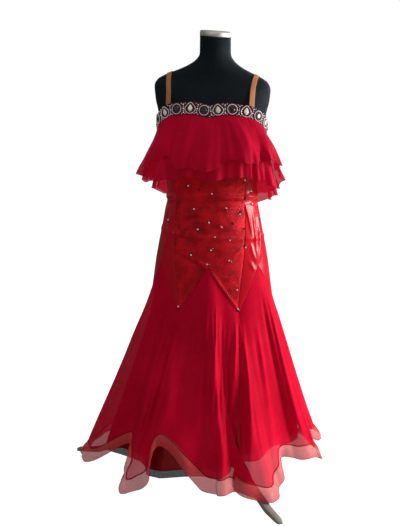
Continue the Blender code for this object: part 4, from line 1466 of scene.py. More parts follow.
@dataclass(frozen=True)
class Frill:
    """Two gathered chiffon layers that hang from under the band."""

    band_height: float = 0.038
    below: float = 0.0012
    between: float = 0.0008
    flare: Table = ((0.0, 0.0), (0.25, 0.012), (0.6, 0.030), (1.0, 0.046))
    hang: float = 0.9
    columns: int = 960
    rows: int = 44
    slow_swing: float = 0.45
    edge_radius: float = 0.0009
    gather_reach: float = 0.22
    # Depth of the gathers in the middle, then what they gain at the sides
    gather_depth: tuple[float, float] = (0.3, 0.7)
    gather_from: tuple[float, float] = (0.0, 0.10)
    ruffle_from: tuple[float, float] = (0.5, 1.0)
    drop_from: tuple[float, float] = (0.6, 1.0)
    least_flare: float = 0.012
    fold_shift: float = 3.0
    # Turns between which the frill's sides, which are ruffled most, begin and end
    side_turns: tuple[float, ...] = (28.0, 50.0, 110.0, 130.0)
    # Columns in a table of waves: depth, count, start, then bend, count and start of the slow wave in it
    gathers: Table = ((0.0006, 74, 0.0, 2.1, 5, 1.0), (0.0007, 41, 0.0, 1.7, 4, -1.0))
    hem_ruffle: Table = ((0.0014, 33, 0.0, 2.4, 2, 1.0),)
    side_ruffle: Table = ((0.0056, 33, 0.0, 2.4, 2, 1.0), (0.0030, 58, 1.0, 0.0, 0, 0.0))
    side_drop: Table = ((0.0042, 37, 0.0, 2.0, 5, 1.0),)
    # Columns: turn, length there
    upper_lengths: Table = (
        (-150.0, 0.158), (-120.0, 0.140), (-95.0, 0.128), (-75.0, 0.146), (-52.0, 0.140), (-41.0, 0.122),
        (-31.0, 0.140), (-26.0, 0.160), (-16.0, 0.152), (-11.0, 0.158), (12.0, 0.149), (17.0, 0.134),
        (23.0, 0.128), (32.0, 0.137), (42.0, 0.140), (65.0, 0.119), (85.0, 0.130), (105.0, 0.150),
        (130.0, 0.138), (155.0, 0.155), (180.0, 0.142),
    )
    lower_lengths: Table = (
        (-140.0, 0.164), (-115.0, 0.152), (-94.0, 0.156), (-65.0, 0.174), (-38.0, 0.197), (-22.0, 0.184),
        (4.0, 0.190), (19.0, 0.188), (39.0, 0.184), (58.0, 0.190), (75.0, 0.199), (95.0, 0.188),
        (120.0, 0.170), (145.0, 0.176), (175.0, 0.184),
    )
    # Columns: turn at the top, turn at the hem, height of the ridge, its reach in degrees
    folds: Table = (
        (-46.0, -49.0, 0.009, 6.0), (-34.0, -36.0, -0.006, 5.0), (-18.0, -17.0, 0.006, 6.0),
        (-2.0, -4.0, -0.008, 9.0), (14.0, 16.0, 0.005, 6.0), (29.0, 30.0, -0.006, 5.0),
        (41.0, 45.0, 0.009, 6.0), (56.0, 58.0, -0.005, 5.0), (70.0, 75.0, 0.008, 7.0),
        (92.0, 95.0, -0.006, 6.0), (108.0, 111.0, 0.008, 7.0), (127.0, 125.0, -0.006, 6.0),
        (143.0, 146.0, 0.007, 7.0), (163.0, 160.0, 0.006, 6.0), (178.0, 180.0, -0.007, 8.0),
        (197.0, 200.0, 0.008, 6.0), (216.0, 213.0, -0.006, 6.0), (233.0, 236.0, 0.007, 7.0),
        (251.0, 249.0, 0.006, 5.0), (268.0, 271.0, -0.006, 6.0), (285.0, 283.0, 0.008, 7.0),
    )
    # Columns: waves round it, their depth, where they start, how much more its hem stands out
    upper_waves: tuple[float, ...] = (12, 0.010, 1.3, 0.010)
    lower_waves: tuple[float, ...] = (13, 0.009, 0.4, -0.006)
    upper_cut: tuple[float, float] = (1.40, 0.145)
    lower_cut: tuple[float, float] = (1.30, 0.187)

    def build(self, room: Workroom) -> None:
        """Builds both layers and their rolled edges.

        Args:
            room: The workroom.
        """
        lower_out = EASE + CLOTH + LAY_OVER + SHEER / 2
        upper_out = lower_out + SHEER + self.between
        layers = (
            ("frill_under", "frill_lower", lower_out, self.lower_lengths, self.lower_waves, self.lower_cut),
            ("frill_over", "frill_upper", upper_out, self.upper_lengths, self.upper_waves, self.upper_cut),
        )
        for name, node, out, lengths, waves, cut in layers:
            grid = self.layer(out, lengths, waves)
            piece = room.sheet(name, grid, True, "frill_chiffon", 0.0, cut)
            room.seat(piece, [node], "gathered layer")
            edge = room.tube(f"{name}_edge", grid[-1], self.edge_radius, "rolled_edge")
            room.seat(edge, (), "rolled edge")

    def layer(self, out: float, lengths: Table, waves: tuple[float, ...]) -> Numbers:
        """Points of one layer.

        Args:
            out: How far its top edge stands from the figure.
            lengths: Its length by turn.
            waves: Its waves, their depth, their start and the hem's extra reach.

        Returns:
            Rows from the band to the hem.
        """
        count, depth, phase, extra = waves
        turns = np.arange(self.columns) * FULL_TURN / self.columns - 180.0
        top = FIGURE.neckline(turns) - self.band_height - self.below
        length = around(lengths, turns)
        share = np.linspace(0.0, 1.0, self.rows)[:, None]
        spin = np.radians(turns)[None, :]
        z = top - length * share
        swings = ((1.0, count, 1.0, 0.5, 3, 1.0), (self.slow_swing, count // 2, 2.0, 0.0, 0, 0.0))
        swing = ripples(spin, swings, phase)
        flare = through(column(self.flare, 0), column(self.flare, 1), share) + extra * share
        hold = np.maximum(FIGURE.section(top)[0][None, :] - FIGURE.section(z)[0], 0.0)
        away = np.abs(turns)
        start, full, ebb, end = self.side_turns
        sides = smooth_step(away, start, full) * (1.0 - smooth_step(away, ebb, end))
        middle, gain = self.gather_depth
        gather = ripples(spin, self.gathers, phase) * (middle + gain * sides)
        gather = gather * smooth_step(share, *self.gather_from) * np.exp(-share / self.gather_reach)
        edge = ripples(spin, self.hem_ruffle, phase) + sides * ripples(spin, self.side_ruffle, phase)
        edge = edge * smooth_step(share, *self.ruffle_from)
        z = z - sides * ripples(spin, self.side_drop, phase) * smooth_step(share, *self.drop_from)
        soft = np.zeros(z.shape)
        for at_top, at_hem, height, wide in self.folds:
            line = at_top + (at_hem - at_top) * share - phase * self.fold_shift
            apart = (turns[None, :] - line + 180.0) % FULL_TURN - 180.0
            bell = np.exp(-((apart / (wide * (0.5 + 0.5 * share))) ** 2))
            soft += height * smooth_step(share, 0.05, 0.6) * bell
        reach = out + flare + hold * self.hang + depth * share * swing + gather + edge + soft
        reach = np.maximum(reach, out + self.least_flare * share**2)
        return FIGURE.at(turns[None, :], z, reach)


# A cut stone's girdle and crown, as shares of its height and size, and how a drop narrows upward
GIRDLE_RISE = 0.30
CROWN_RISE = 0.66
CROWN_SIZE = 0.86
DROP_TAPER = 0.42
DROP_SHOULDER = -0.35


class StoneKind(Enum):
    """The stones that the dress carries, and their finishes."""

    DROP = "cream_drop"
    OVAL = "black_stone"
    CLEAR = "clear_crystal"
    BEAD = "silver_bead"
    BEZEL = "dark_setting"


class StoneTray:
    """Collects stones of one finish and sets them as one piece."""

    def __init__(self) -> None:
        """Starts empty."""
        self.points: list[Numbers] = []
        self.faces: list[list[int]] = []
        self.count = 0

    def set(self, place: Numbers, across: Numbers, up: Numbers, shape: Shape) -> None:
        """Sets one stone.

        Args:
            place: Where its back lies.
            across: Its sideways direction.
            up: Its upward direction.
            shape: Its points, as across, up and out, and its faces.
        """
        points, faces = shape
        out = np.cross(across, up)
        self.points.append(place + points[:, :1] * across + points[:, 1:2] * up + points[:, 2:] * out)
        self.faces += [[self.count + c for c in face] for face in faces]
        self.count += len(points)

    def piece(self, room: Workroom, name: str, kind: StoneKind) -> None:
        """Makes the stones one piece and seats it.

        Args:
            room: The workroom.
            name: The piece's name.
            kind: Which stones they are. Only beads are smooth.
        """
        points, smooth = np.concatenate(self.points), kind is StoneKind.BEAD
        made = room.mesh(name, points, self.faces, kind.value, smooth=smooth)
        room.seat(made, (), "stones")


def outline(kind: StoneKind, half_width: float, half_height: float, sides: int) -> Numbers:
    """Draws a stone as it is seen from in front, anticlockwise.

    Args:
        kind: Which stone.
        half_width: Half of its width.
        half_height: Half of its height.
        sides: How many points it has.

    Returns:
        The points.
    """
    spin = (np.arange(sides) + 0.5) * 2 * math.pi / sides
    x, y = np.cos(spin) * half_width, np.sin(spin) * half_height
    if kind is StoneKind.DROP:
        x = x * (1.0 - DROP_TAPER * smooth_step(y / half_height, DROP_SHOULDER, 1.0))
    return np.stack([x, y], axis=-1)


def cut_stone(edge: Numbers, height: float, table: float = 0.55) -> Shape:
    """Cuts a faceted stone.

    Args:
        edge: Its outline.
        height: How far its top stands out.
        table: The top's size over the whole's.

    Returns:
        Its points and faces.
    """
    sides = len(edge)
    middle = (edge + np.roll(edge, -1, axis=0)) / 2
    rings = ((edge, 0.0), (edge, GIRDLE_RISE), (middle * CROWN_SIZE, CROWN_RISE), (edge * table, 1.0))
    points = np.concatenate([np.column_stack([ring, np.full(sides, rise * height)]) for ring, rise in rings])
    faces = [list(range(sides))[::-1]]
    for s in range(sides):
        t = (s + 1) % sides
        faces.append([s, t, sides + t, sides + s])
        faces.append([sides + s, sides + t, 2 * sides + s])
        faces.append([sides + t, 2 * sides + t, 2 * sides + s])
        faces.append([2 * sides + s, 2 * sides + t, 3 * sides + t])
        faces.append([3 * sides + s, 2 * sides + s, 3 * sides + t])
    faces.append([3 * sides + s for s in range(sides)])
    return points, faces


def bead(radius: float, sides: int = 8, rings: int = 4) -> Shape:
    """Makes a round bead that sits on the cloth.

    Args:
        radius: Its radius.
        sides: Its faces round.
        rings: Its faces from end to end.

    Returns:
        Its points and faces.
    """
    points = [[0.0, 0.0, 0.1 * radius]]
    for k in range(1, rings):
        tilt = math.pi * k / rings
        for s in range(sides):
            spin = 2 * math.pi * s / sides
            level = radius * math.sin(tilt)
            points.append([level * math.cos(spin), level * math.sin(spin), radius * (1.1 - math.cos(tilt))])
    points.append([0.0, 0.0, 2.1 * radius])
    faces = [[0, 1 + (s + 1) % sides, 1 + s] for s in range(sides)]
    for k in range(rings - 2):
        for s in range(sides):
            t = (s + 1) % sides
            a, b = 1 + k * sides, 1 + (k + 1) * sides
            faces.append([a + s, a + t, b + t, b + s])
    last = 1 + (rings - 2) * sides
    faces += [[last + s, last + (s + 1) % sides, last + sides] for s in range(sides)]
    return np.array(points), faces


@dataclass(frozen=True)
class StoneLine:
    """The middle line of the band, which the stones are set along."""

    along: Numbers
    points: Numbers
    normals: Numbers
    look_ahead: float = 0.002

    def read(self, values: Numbers, where: float) -> Numbers:
        """The points or normals at a distance from the line's middle."""
        return np.array([np.interp(where, self.along, values[:, k]) for k in range(3)])

    def at(self, where: float) -> Place:
        """Finds where a stone is set.

        Args:
            where: Its distance from the line's middle.

        Returns:
            The place, and its sideways and upward directions.
        """
        place = self.read(self.points, where)
        normal = unit(self.read(self.normals, where))
        nearby = self.read(self.points, where + self.look_ahead) - place
        across = unit(nearby - normal * (nearby @ normal))
        return place, across, np.cross(normal, across)


@dataclass(frozen=True)
class JewelledBand:
    """The dark red band and the stones that cover its front."""

    height: float = 0.038
    side_turn: float = 92.0
    side_gap: float = 0.12
    step: float = 0.0445
    shift: float = 0.0075
    drop_size: tuple[float, float] = (0.0082, 0.0112)
    oval_size: tuple[float, float] = (0.0086, 0.0096)
    bezel_width: float = 0.0020
    drop_ring: tuple[float, float] = (0.0176, 0.0172)
    oval_ring: tuple[float, float] = (0.0150, 0.0156)
    bead_radius: float = 0.0015
    stone_height: float = 0.0042
    stone_table: float = 0.6
    stone_sides: int = 18
    rim_rise: float = 0.42  # of the stone's height
    rim_table: float = 0.8
    ring_points: int = 96
    line_points: int = 737
    half_count: int = 6
    roll_reach: float = 0.06
    roll_depth: float = 0.0006
    bead_step: float = 2.15  # in radii
    # Columns: radius, points and height of a small stone
    small_stone: tuple[float, int, float] = (0.0022, 8, 0.0019)
    tiny_stone: tuple[float, int, float] = (0.0014, 6, 0.0013)
    # Columns: share of a step past a large stone, share of the band's height over its middle
    small_places: Table = ((0.5, 0.0), (0.5, 0.33), (0.5, -0.33))
    tiny_places: Table = ((0.36, 0.42), (0.64, 0.42), (0.36, -0.42), (0.64, -0.42), (0.5, 0.17), (0.5, -0.17))
    end_gap: float = 0.006
    front_columns: int = 460
    back_columns: int = 200
    rows: int = 16
    front_cut: tuple[float, float] = (0.53, 0.038)
    back_cut: tuple[float, float] = (0.43, 0.038)

    def build(self, room: Workroom) -> None:
        """Builds the two strips and the stones.

        Args:
            room: The workroom.
        """
        out = EASE + CLOTH + LAY_OVER + BAND_CLOTH / 2
        side = self.side_turn + self.side_gap
        strips = (
            ("front", -self.side_turn, self.side_turn, self.front_columns, self.front_cut),
            ("back", side, FULL_TURN - side, self.back_columns, self.back_cut),
        )
        for face, first, last, columns, cut in strips:
            turns = np.linspace(first, last, columns + 1)
            share = np.linspace(0.0, 1.0, self.rows + 1)
            grid = self.points(turns, share, out)
            roll = np.exp(-((np.minimum(share, 1 - share) / self.roll_reach) ** 2))[:, None, None]
            grid = grid - grid_normals(grid, False) * self.roll_depth * roll
            piece = room.sheet(f"band_strip_{face}", grid, False, "band_cloth", BAND_CLOTH * 0.8, cut)
            room.seat(piece, [f"band_{face}"], "band")
        self.build_stones(room, out + BAND_CLOTH / 2)

    def points(self, turns: Numbers, shares: Numbers, out: float) -> Numbers:
        """Points of the band at some turns and shares of its height down from its top."""
        down = np.asarray(shares)[:, None] * self.height
        return FIGURE.at(turns[None, :], FIGURE.neckline(turns)[None, :] - down, out)

    def build_stones(self, room: Workroom, out: float) -> None:
        """Sets drops and ovals in turn, each in a dark rim and a ring of beads.

        Args:
            room: The workroom.
            out: How far the band's face stands from the figure.
        """
        turns = np.linspace(-self.side_turn, self.side_turn, self.line_points)
        rows = self.points(turns, np.array([0.45, 0.5, 0.55]), out)
        along = steps_along(rows[1])
        line = StoneLine(along - along[-1] / 2, rows[1], grid_normals(rows, False)[1])
        reach = along[-1] / 2 - self.end_gap
        trays = {kind: StoneTray() for kind in StoneKind}
        for k in range(-self.half_count, self.half_count):
            where = (k + 0.5) * self.step + self.shift
            if abs(where) > reach:
                continue
            place = line.at(where)
            drop = k % 2 == 0
            kind = StoneKind.DROP if drop else StoneKind.OVAL
            wide, high = self.drop_size if drop else self.oval_size
            edge = outline(kind, wide, high, self.stone_sides)
            trays[kind].set(*place, cut_stone(edge, self.stone_height, self.stone_table))
            rim = outline(kind, wide + self.bezel_width, high + self.bezel_width, self.stone_sides)
            rim_shape = cut_stone(rim, self.stone_height * self.rim_rise, self.rim_table)
            trays[StoneKind.BEZEL].set(*place, rim_shape)
            ring = outline(kind, *(self.drop_ring if drop else self.oval_ring), self.ring_points)
            self.ring_of_beads(trays[StoneKind.BEAD], ring, place)
            self.fill_between(trays[StoneKind.CLEAR], line, where, reach)
        names = {
            StoneKind.DROP: "band_drops", StoneKind.OVAL: "band_ovals", StoneKind.BEZEL: "band_rims",
            StoneKind.BEAD: "band_beads", StoneKind.CLEAR: "band_small_crystals",
        }
        for kind, name in names.items():
            trays[kind].piece(room, name, kind)

    def ring_of_beads(self, tray: StoneTray, ring: Numbers, place: Place) -> None:
        """Sets beads evenly along a closed outline.

        Args:
            tray: The tray that they go in.
            ring: The outline.
            place: Where its middle is, and its sideways and upward directions.
        """
        middle, across, up = place
        closed = np.concatenate([ring, ring[:1]])
        lengths = steps_along(closed)
        count = int(lengths[-1] / (self.bead_step * self.bead_radius))
        shape = bead(self.bead_radius)
        for s in np.arange(count) * lengths[-1] / count:
            x, y = (float(np.interp(s, lengths, closed[:, k])) for k in (0, 1))
            tray.set(middle + across * x + up * y, across, up, shape)

    def fill_between(self, tray: StoneTray, line: StoneLine, where: float, reach: float) -> None:
        """Sets small crystals beside one large stone, at both edges of the band.

        Args:
            tray: The tray that they go in.
            line: The band's middle line.
            where: The large stone's place along it.
            reach: How far the line is filled.
        """
        for (radius, sides, height), places in (
            (self.small_stone, self.small_places), (self.tiny_stone, self.tiny_places),
        ):
            shape = cut_stone(outline(StoneKind.CLEAR, radius, radius, sides), height)
            for off, rise in places:
                at = where + off * self.step
                if abs(at) < reach:
                    place, across, up = line.at(at)
                    tray.set(place + up * rise * self.height, across, up, shape)


@dataclass(frozen=True)
class ScatteredStones:
    """Single stones and pairs over the front of the bodice."""

    clear_radius: float = 0.0023
    dark_radius: float = 0.0036
    height: float = 0.0024
    step_aside: float = 0.0058
    # Columns: turn, height, whether a clear stone, whether a dark one, then the way from clear to dark
    rows: Table = (
        (-34.5, 0.992, 1, 1, 180), (-17.0, 0.980, 0, 1, 0), (5.0, 0.968, 1, 1, -90), (32.0, 0.998, 0, 1, 0),
        (54.5, 1.010, 1, 1, -90), (-51.5, 0.934, 0, 1, 0), (-25.0, 0.918, 1, 1, 180),
        (28.5, 0.922, 1, 1, -90),
        (47.5, 0.902, 1, 1, 60), (-65.0, 0.874, 1, 1, -90), (0.5, 0.876, 1, 1, 135), (20.5, 0.862, 1, 1, 150),
        (37.0, 0.874, 0, 1, 0), (52.0, 0.854, 0, 1, 0), (70.5, 0.846, 1, 0, 0), (83.0, 0.874, 0, 1, 0),
        (-17.5, 0.854, 1, 1, -60), (10.0, 0.830, 1, 0, 0), (31.5, 0.820, 1, 1, 90), (51.0, 0.794, 1, 1, 120),
        (-49.0, 0.800, 0, 1, 0), (-64.0, 0.780, 1, 1, 90), (4.0, 0.788, 1, 1, 50), (-25.0, 0.770, 1, 1, 90),
        (29.0, 0.754, 1, 1, -45), (-1.5, 0.742, 1, 1, -20), (-36.5, 0.598, 1, 1, -75),
        (36.5, 0.596, 1, 1, -80),
        (37.0, 0.658, 1, 0, 0), (67.0, 0.972, 1, 1, -90), (57.0, 0.948, 0, 1, 0), (68.0, 0.930, 0, 1, 0),
    )
    look_turn: float = 1.0
    look_height: float = 0.004
    over_cloth: float = 0.0006

    def build(self, room: Workroom) -> None:
        """Sets the stones on the panels.

        Args:
            room: The workroom.
        """
        crystals, dark_stones = StoneTray(), StoneTray()
        clear_shape, dark_shape = (
            cut_stone(outline(StoneKind.CLEAR, radius, radius, 8), self.height)
            for radius in (self.clear_radius, self.dark_radius)
        )
        for turn, z, clear, dark, way in self.rows:
            place, across, up = self.frame_at(turn, z)
            spin = math.radians(way)
            aside = self.step_aside * (across * math.cos(spin) + up * math.sin(spin))
            if clear:
                crystals.set(place, across, up, clear_shape)
            if dark:
                dark_stones.set(place + aside * clear, across, up, dark_shape)
        crystals.piece(room, "bodice_crystals", StoneKind.CLEAR)
        dark_stones.piece(room, "bodice_dark_stones", StoneKind.OVAL)

    def frame_at(self, turn: float, z: float) -> Place:
        """Finds where a stone is set on a panel.

        Args:
            turn: Its turn in degrees.
            z: Its height.

        Returns:
            The place, and its sideways and upward directions.
        """
        turns = turn + self.look_turn * np.array([[-1.0, 0.0, 1.0]])
        heights = z + self.look_height * np.array([[1.0], [0.0], [-1.0]])
        patch = FIGURE.at(turns, heights, EASE + CLOTH + self.over_cloth)
        normal = grid_normals(patch, False)[1, 1]
        across = unit(patch[1, 2] - patch[1, 0])
        across = unit(across - normal * (across @ normal))
        return patch[1, 1], across, np.cross(normal, across)


@dataclass(frozen=True)
class Skirt:
    """Six chiffon gores, the stiff clear braid round them, and the lining inside."""

    # Columns: turn, reach, width, low, then the hollow's turn, reach and low, then the lining's share
    flutes: Table = (
        (-78.0, 0.458, 0.120, 0.036, -55.0, 0.315, 0.125, 0.75),
        (-35.5, 0.425, 0.085, 0.034, -24.5, 0.330, 0.180, 0.20),
        (8.5, 0.372, 0.115, 0.052, 20.5, 0.292, 0.085, 0.30),
        (33.0, 0.404, 0.138, 0.026, 57.0, 0.303, 0.090, 0.40),
        (74.0, 0.402, 0.120, 0.062, 93.0, 0.318, 0.105, 0.50),
        (110.0, 0.415, 0.115, 0.038, 127.0, 0.312, 0.066, 0.50),
        (145.0, 0.405, 0.120, 0.036, 161.0, 0.305, 0.060, 0.45),
        (178.0, 0.412, 0.125, 0.040, 195.0, 0.312, 0.070, 0.50),
        (213.0, 0.402, 0.115, 0.036, 229.0, 0.308, 0.062, 0.45),
        (245.0, 0.410, 0.115, 0.040, 262.0, 0.325, 0.072, 0.50),
    )
    braid_width: float = 0.048
    braid_kick: float = 0.026
    shoulder_back: float = 0.40
    hang: float = 1.06
    half_gore: int = 80
    rows: int = 90
    braid_rows: int = 12
    lowest: float = 0.022
    zigzag_gap: float = 0.0007
    # How much of an inset the hollows and the flutes' half widths take
    hollow_inset: float = 0.3
    width_inset: float = 0.6
    side_rise: float = 0.3
    top_spread: float = 0.38
    # Columns to each side that the godet points' creases are spread over, and where down the skirt
    soften: int = 22
    soften_fade: float = 2.2
    soften_from: tuple[float, float] = (0.0, 0.14)
    soften_to: tuple[float, float] = (0.6, 1.0)
    # A fold's width and height at the top, then what they gain on the way down
    fold_width: tuple[float, float] = (0.45, 0.75)
    fold_height: tuple[float, float] = (0.35, 0.65)
    fold_fade: float = 0.25
    fold_level: float = 0.25
    curl_sharpness: float = 1.6
    braid_start: float = 0.01
    braid_follow: float = 1.1
    braid_bow: float = 0.004
    braid_sharpness: float = 1.5
    cord_radius: float = 0.0022
    edge_radius: float = 0.0008
    lining_holds: Table = ((0.748, 0.0014), (0.660, 0.0040), (0.575, 0.0065))
    lining_hems: tuple[float, ...] = (0.052, 0.046, 0.056, 0.118, 0.128, 0.095, 0.070, 0.062, 0.066, 0.058)
    lining_braid: float = 0.025
    lining_inside: float = 0.036
    lining_clear: float = 0.03
    lining_width: float = 0.62
    lining_columns: int = 480
    lining_held_rows: int = 24
    lining_rows: int = 48
    lining_braid_rows: int = 6
    fine_folds: Table = ((0.0005, 61, 0.0, 2.0, 5, 0.0), (0.00035, 97, 0.0, 1.6, 7, 1.0))
    braid_ripples: Table = ((0.0022, 57, 0.0, 2.2, 6, 0.0), (0.0014, 31, 1.0, 0.0, 0, 0.0))
    lining_folds: Table = ((0.004, 27, 0.0, 1.8, 4, 0.0),)
    gore_cut: tuple[float, float] = (0.70, 0.64)
    gore_area: float = 0.19
    braid_cut: tuple[float, float] = (2.95, 0.048)
    lining_cut: tuple[float, float] = (2.15, 0.68)
    lining_area: float = 1.03
    lining_braid_cut: tuple[float, float] = (2.15, 0.025)
    # Columns: place, reach in places, then how far aside, out and up the hem goes there, and where it starts
    curls: Table = (
        (0.4, 0.60, 0.0, 0.004, -0.010, 0.66), (2.0, 0.62, 0.0, 0.012, -0.026, 0.62),
        (4.6, 0.40, 0.004, 0.006, 0.0, 0.72), (6.0, 0.42, 0.016, 0.010, -0.010, 0.70),
        (10.2, 0.34, 0.062, 0.018, -0.046, 0.74), (11.6, 0.40, -0.016, -0.012, 0.0, 0.72),
        (13.2, 0.50, 0.012, 0.0, -0.006, 0.74), (16.4, 0.45, 0.020, 0.0, 0.008, 0.70),
        (20.5, 0.45, -0.020, 0.0, 0.006, 0.70), (24.4, 0.45, 0.022, 0.0, 0.0, 0.72),
        (28.6, 0.45, -0.018, 0.0, 0.008, 0.70), (32.3, 0.45, 0.024, 0.0, 0.0, 0.70),
        (36.5, 0.45, -0.020, 0.0, 0.006, 0.72),
    )
    # Columns: places at the top and the hem, the ridge's height, its reach in places, its start and its end
    folds: Table = (
        (4.8, 5.9, -0.016, 0.32, 0.03, 1.00), (5.9, 7.3, 0.011, 0.34, 0.05, 0.95),
        (7.6, 8.7, -0.010, 0.26, 0.10, 1.00), (8.5, 9.5, 0.009, 0.26, 0.15, 1.00),
        (3.6, 4.4, 0.010, 0.26, 0.04, 1.00), (10.6, 9.9, -0.008, 0.24, 0.15, 1.00),
        (13.4, 11.2, -0.019, 0.34, 0.02, 1.00), (13.9, 12.1, 0.013, 0.26, 0.06, 1.00),
        (12.9, 10.3, 0.012, 0.26, 0.04, 0.95), (14.9, 14.3, 0.012, 0.24, 0.20, 1.00),
        (15.5, 15.6, -0.011, 0.26, 0.10, 0.90), (16.3, 16.2, 0.011, 0.22, 0.08, 0.92),
        (12.1, 9.2, 0.007, 0.22, 0.10, 0.80), (10.9, 8.6, -0.007, 0.24, 0.12, 0.90),
        (9.6, 8.1, 0.009, 0.20, 0.08, 0.96), (8.4, 7.6, 0.011, 0.20, 0.10, 0.96),
        (7.7, 7.1, -0.009, 0.20, 0.06, 0.92), (6.4, 5.9, 0.009, 0.18, 0.04, 0.90),
        (5.2, 4.8, 0.011, 0.22, 0.05, 1.00), (5.6, 4.1, -0.009, 0.22, 0.05, 0.95),
        (4.4, 3.4, 0.009, 0.22, 0.06, 0.90), (3.3, 2.6, -0.009, 0.24, 0.10, 0.95),
        (2.5, 1.7, 0.011, 0.22, 0.06, 1.00), (1.4, 0.7, 0.009, 0.22, 0.10, 0.95),
        (0.5, 0.2, -0.009, 0.24, 0.08, 0.95), (17.4, 17.6, 0.011, 0.24, 0.05, 1.00),
        (18.5, 18.9, -0.009, 0.24, 0.08, 0.92), (19.6, 20.1, 0.011, 0.22, 0.06, 1.00),
        (20.9, 21.4, 0.009, 0.22, 0.10, 0.95), (21.9, 22.6, -0.011, 0.26, 0.06, 0.95),
        (23.2, 23.7, 0.012, 0.22, 0.05, 0.98), (24.5, 24.6, -0.009, 0.24, 0.10, 0.92),
        (25.6, 25.9, 0.011, 0.24, 0.06, 1.00), (26.8, 26.5, -0.011, 0.22, 0.05, 0.95),
        (27.9, 27.4, 0.009, 0.22, 0.10, 0.98), (29.0, 28.7, 0.011, 0.24, 0.06, 1.00),
        (30.1, 30.2, -0.009, 0.24, 0.08, 0.92), (31.3, 31.6, 0.011, 0.22, 0.05, 0.96),
        (32.4, 32.9, -0.009, 0.24, 0.10, 0.95), (33.6, 33.8, 0.011, 0.24, 0.06, 1.00),
        (34.8, 34.6, 0.009, 0.22, 0.08, 0.92), (35.9, 36.1, -0.011, 0.24, 0.05, 0.95),
        (37.1, 37.3, 0.011, 0.22, 0.10, 1.00), (38.3, 38.5, -0.009, 0.24, 0.06, 0.92),
        (39.4, 39.6, 0.009, 0.22, 0.08, 0.96),
    )

    def build(self, room: Workroom, bodice: Bodice) -> None:
        """Builds the skirt's pieces, from the panels' lower edge down.

        Args:
            room: The workroom.
            bodice: The bodice that it hangs from.
        """
        places = self.hem_positions(bodice)
        base = self.base_grid(places, bodice, np.linspace(0.0, 1.0, self.rows))
        grid = self.curled(self.folded(base, places), places)
        names = ("front", "right_front", "right_back", "back", "left_back", "left_front")
        gore = 2 * self.half_gore
        cord = room.tube("skirt_hem_cord", grid[-1], self.cord_radius, "rolled_edge", 8)
        room.seat(cord, (), "cord over the braid's seam")
        for k, name in enumerate(names):
            pick = np.arange(k * gore, (k + 1) * gore + 1) % len(places)
            piece = room.sheet(f"skirt_{name}", grid[:, pick], False, "red_chiffon", 0.0, self.gore_cut)
            room.seat(piece, [f"gore_{name}"], "gore")
        self.build_braid(room, places, base, grid)
        self.build_lining(room)

    def count(self) -> int:
        """Number of the hem's points, four a flute."""
        return 4 * len(self.flutes)

    def spin(self, places: Numbers) -> Numbers:
        """Angles round the hem, of places along it."""
        return places[None, :] * 2 * math.pi / self.count()

    def apart(self, places: Numbers, line: Numbers | float) -> Numbers:
        """Distances of places from a line, the short way round the hem."""
        count = self.count()
        return (places[None, :] - line + count / 2) % count - count / 2

    def flute_points(self, inset: float, rise: float, lining: bool = False) -> Numbers:
        """Hem points, four a flute: first side, tip, second side and the hollow.

        Args:
            inset: How far inside the outer hem.
            rise: How far above it.
            lining: Whether these are the lining's.

        Returns:
            The points.
        """
        points = []
        for number, row in enumerate(self.flutes):
            turn, reach, width, low, hollow_turn, hollow_reach, hollow_low, share = row
            hollow = hollow_reach - self.hollow_inset * inset
            tip = reach - inset
            if lining:
                hollow = hollow_reach - self.lining_inside
                tip = hollow + share * (reach - self.braid_kick - self.lining_clear - hollow)
                low = self.lining_hems[number]
                hollow_low = (low + self.lining_hems[(number + 1) % len(self.flutes)]) / 2
                width = self.lining_width * width
            ahead = math.radians(turn)
            out = np.array([math.sin(ahead), -math.cos(ahead)])
            side = np.array([math.cos(ahead), math.sin(ahead)])
            wide = width / 2 - self.width_inset * inset
            back = self.shoulder_back * width * (tip - hollow) / (reach - hollow_reach)
            for step in (-1, 0, 1):
                place = out * (tip - abs(step) * back) + side * step * wide
                high = low + abs(step) * self.side_rise * (hollow_low - low) + rise
                points.append((*place, high))
            ahead = math.radians(hollow_turn)
            points.append((hollow * math.sin(ahead), -hollow * math.cos(ahead), hollow_low + rise))
        return np.array(points)

    def top_turns(self) -> Numbers:
        """Finds the turn on the hips above each hem point.

        Returns:
            The turns, always growing.
        """
        turns: list[float] = []
        for row in self.flutes:
            turn, hollow_turn = row[0], row[4]
            before = turns[-1] if turns else self.flutes[-1][4] - FULL_TURN
            first = turn - self.top_spread * (turn - before)
            second = turn + self.top_spread * (hollow_turn - turn)
            turns += [first, turn, second, hollow_turn]
        return np.array(turns)

    def hem_positions(self, bodice: Bodice) -> Numbers:
        """Finds places along the hem whose columns meet every point and apex of the panels' edge.

        Args:
            bodice: The bodice that the skirt hangs from.

        Returns:
            The places.
        """
        turns = self.top_turns()
        count = len(turns)
        wrapped = np.concatenate([turns, [turns[0] + FULL_TURN]])
        kinks: list[float] = []
        for point, apex in zip(bodice.point_turns, bodice.apex_turns):
            kinks += [point, apex]
        kinks.append(bodice.point_turns[0] + FULL_TURN)
        marks = []
        for kink in kinks:
            laps = math.floor((kink - wrapped[0]) / FULL_TURN)
            inside = kink - laps * FULL_TURN
            marks.append(float(np.interp(inside, wrapped, np.arange(count + 1))) + laps * count)
        places: list[float] = []
        for first, last in zip(marks[:-1], marks[1:]):
            places += list(first + (last - first) * np.arange(self.half_gore) / self.half_gore)
        return np.array(places)

    def turn_at(self, places: Numbers) -> Numbers:
        """Finds the turn on the hips of the columns at places along the hem.

        Args:
            places: The places.

        Returns:
            The turns.
        """
        turns = self.top_turns()
        count = len(turns)
        laps = np.floor(np.asarray(places) / count)
        wrapped = np.concatenate([turns, [turns[0] + FULL_TURN]])
        return np.interp(np.asarray(places) - laps * count, np.arange(count + 1), wrapped) + FULL_TURN * laps

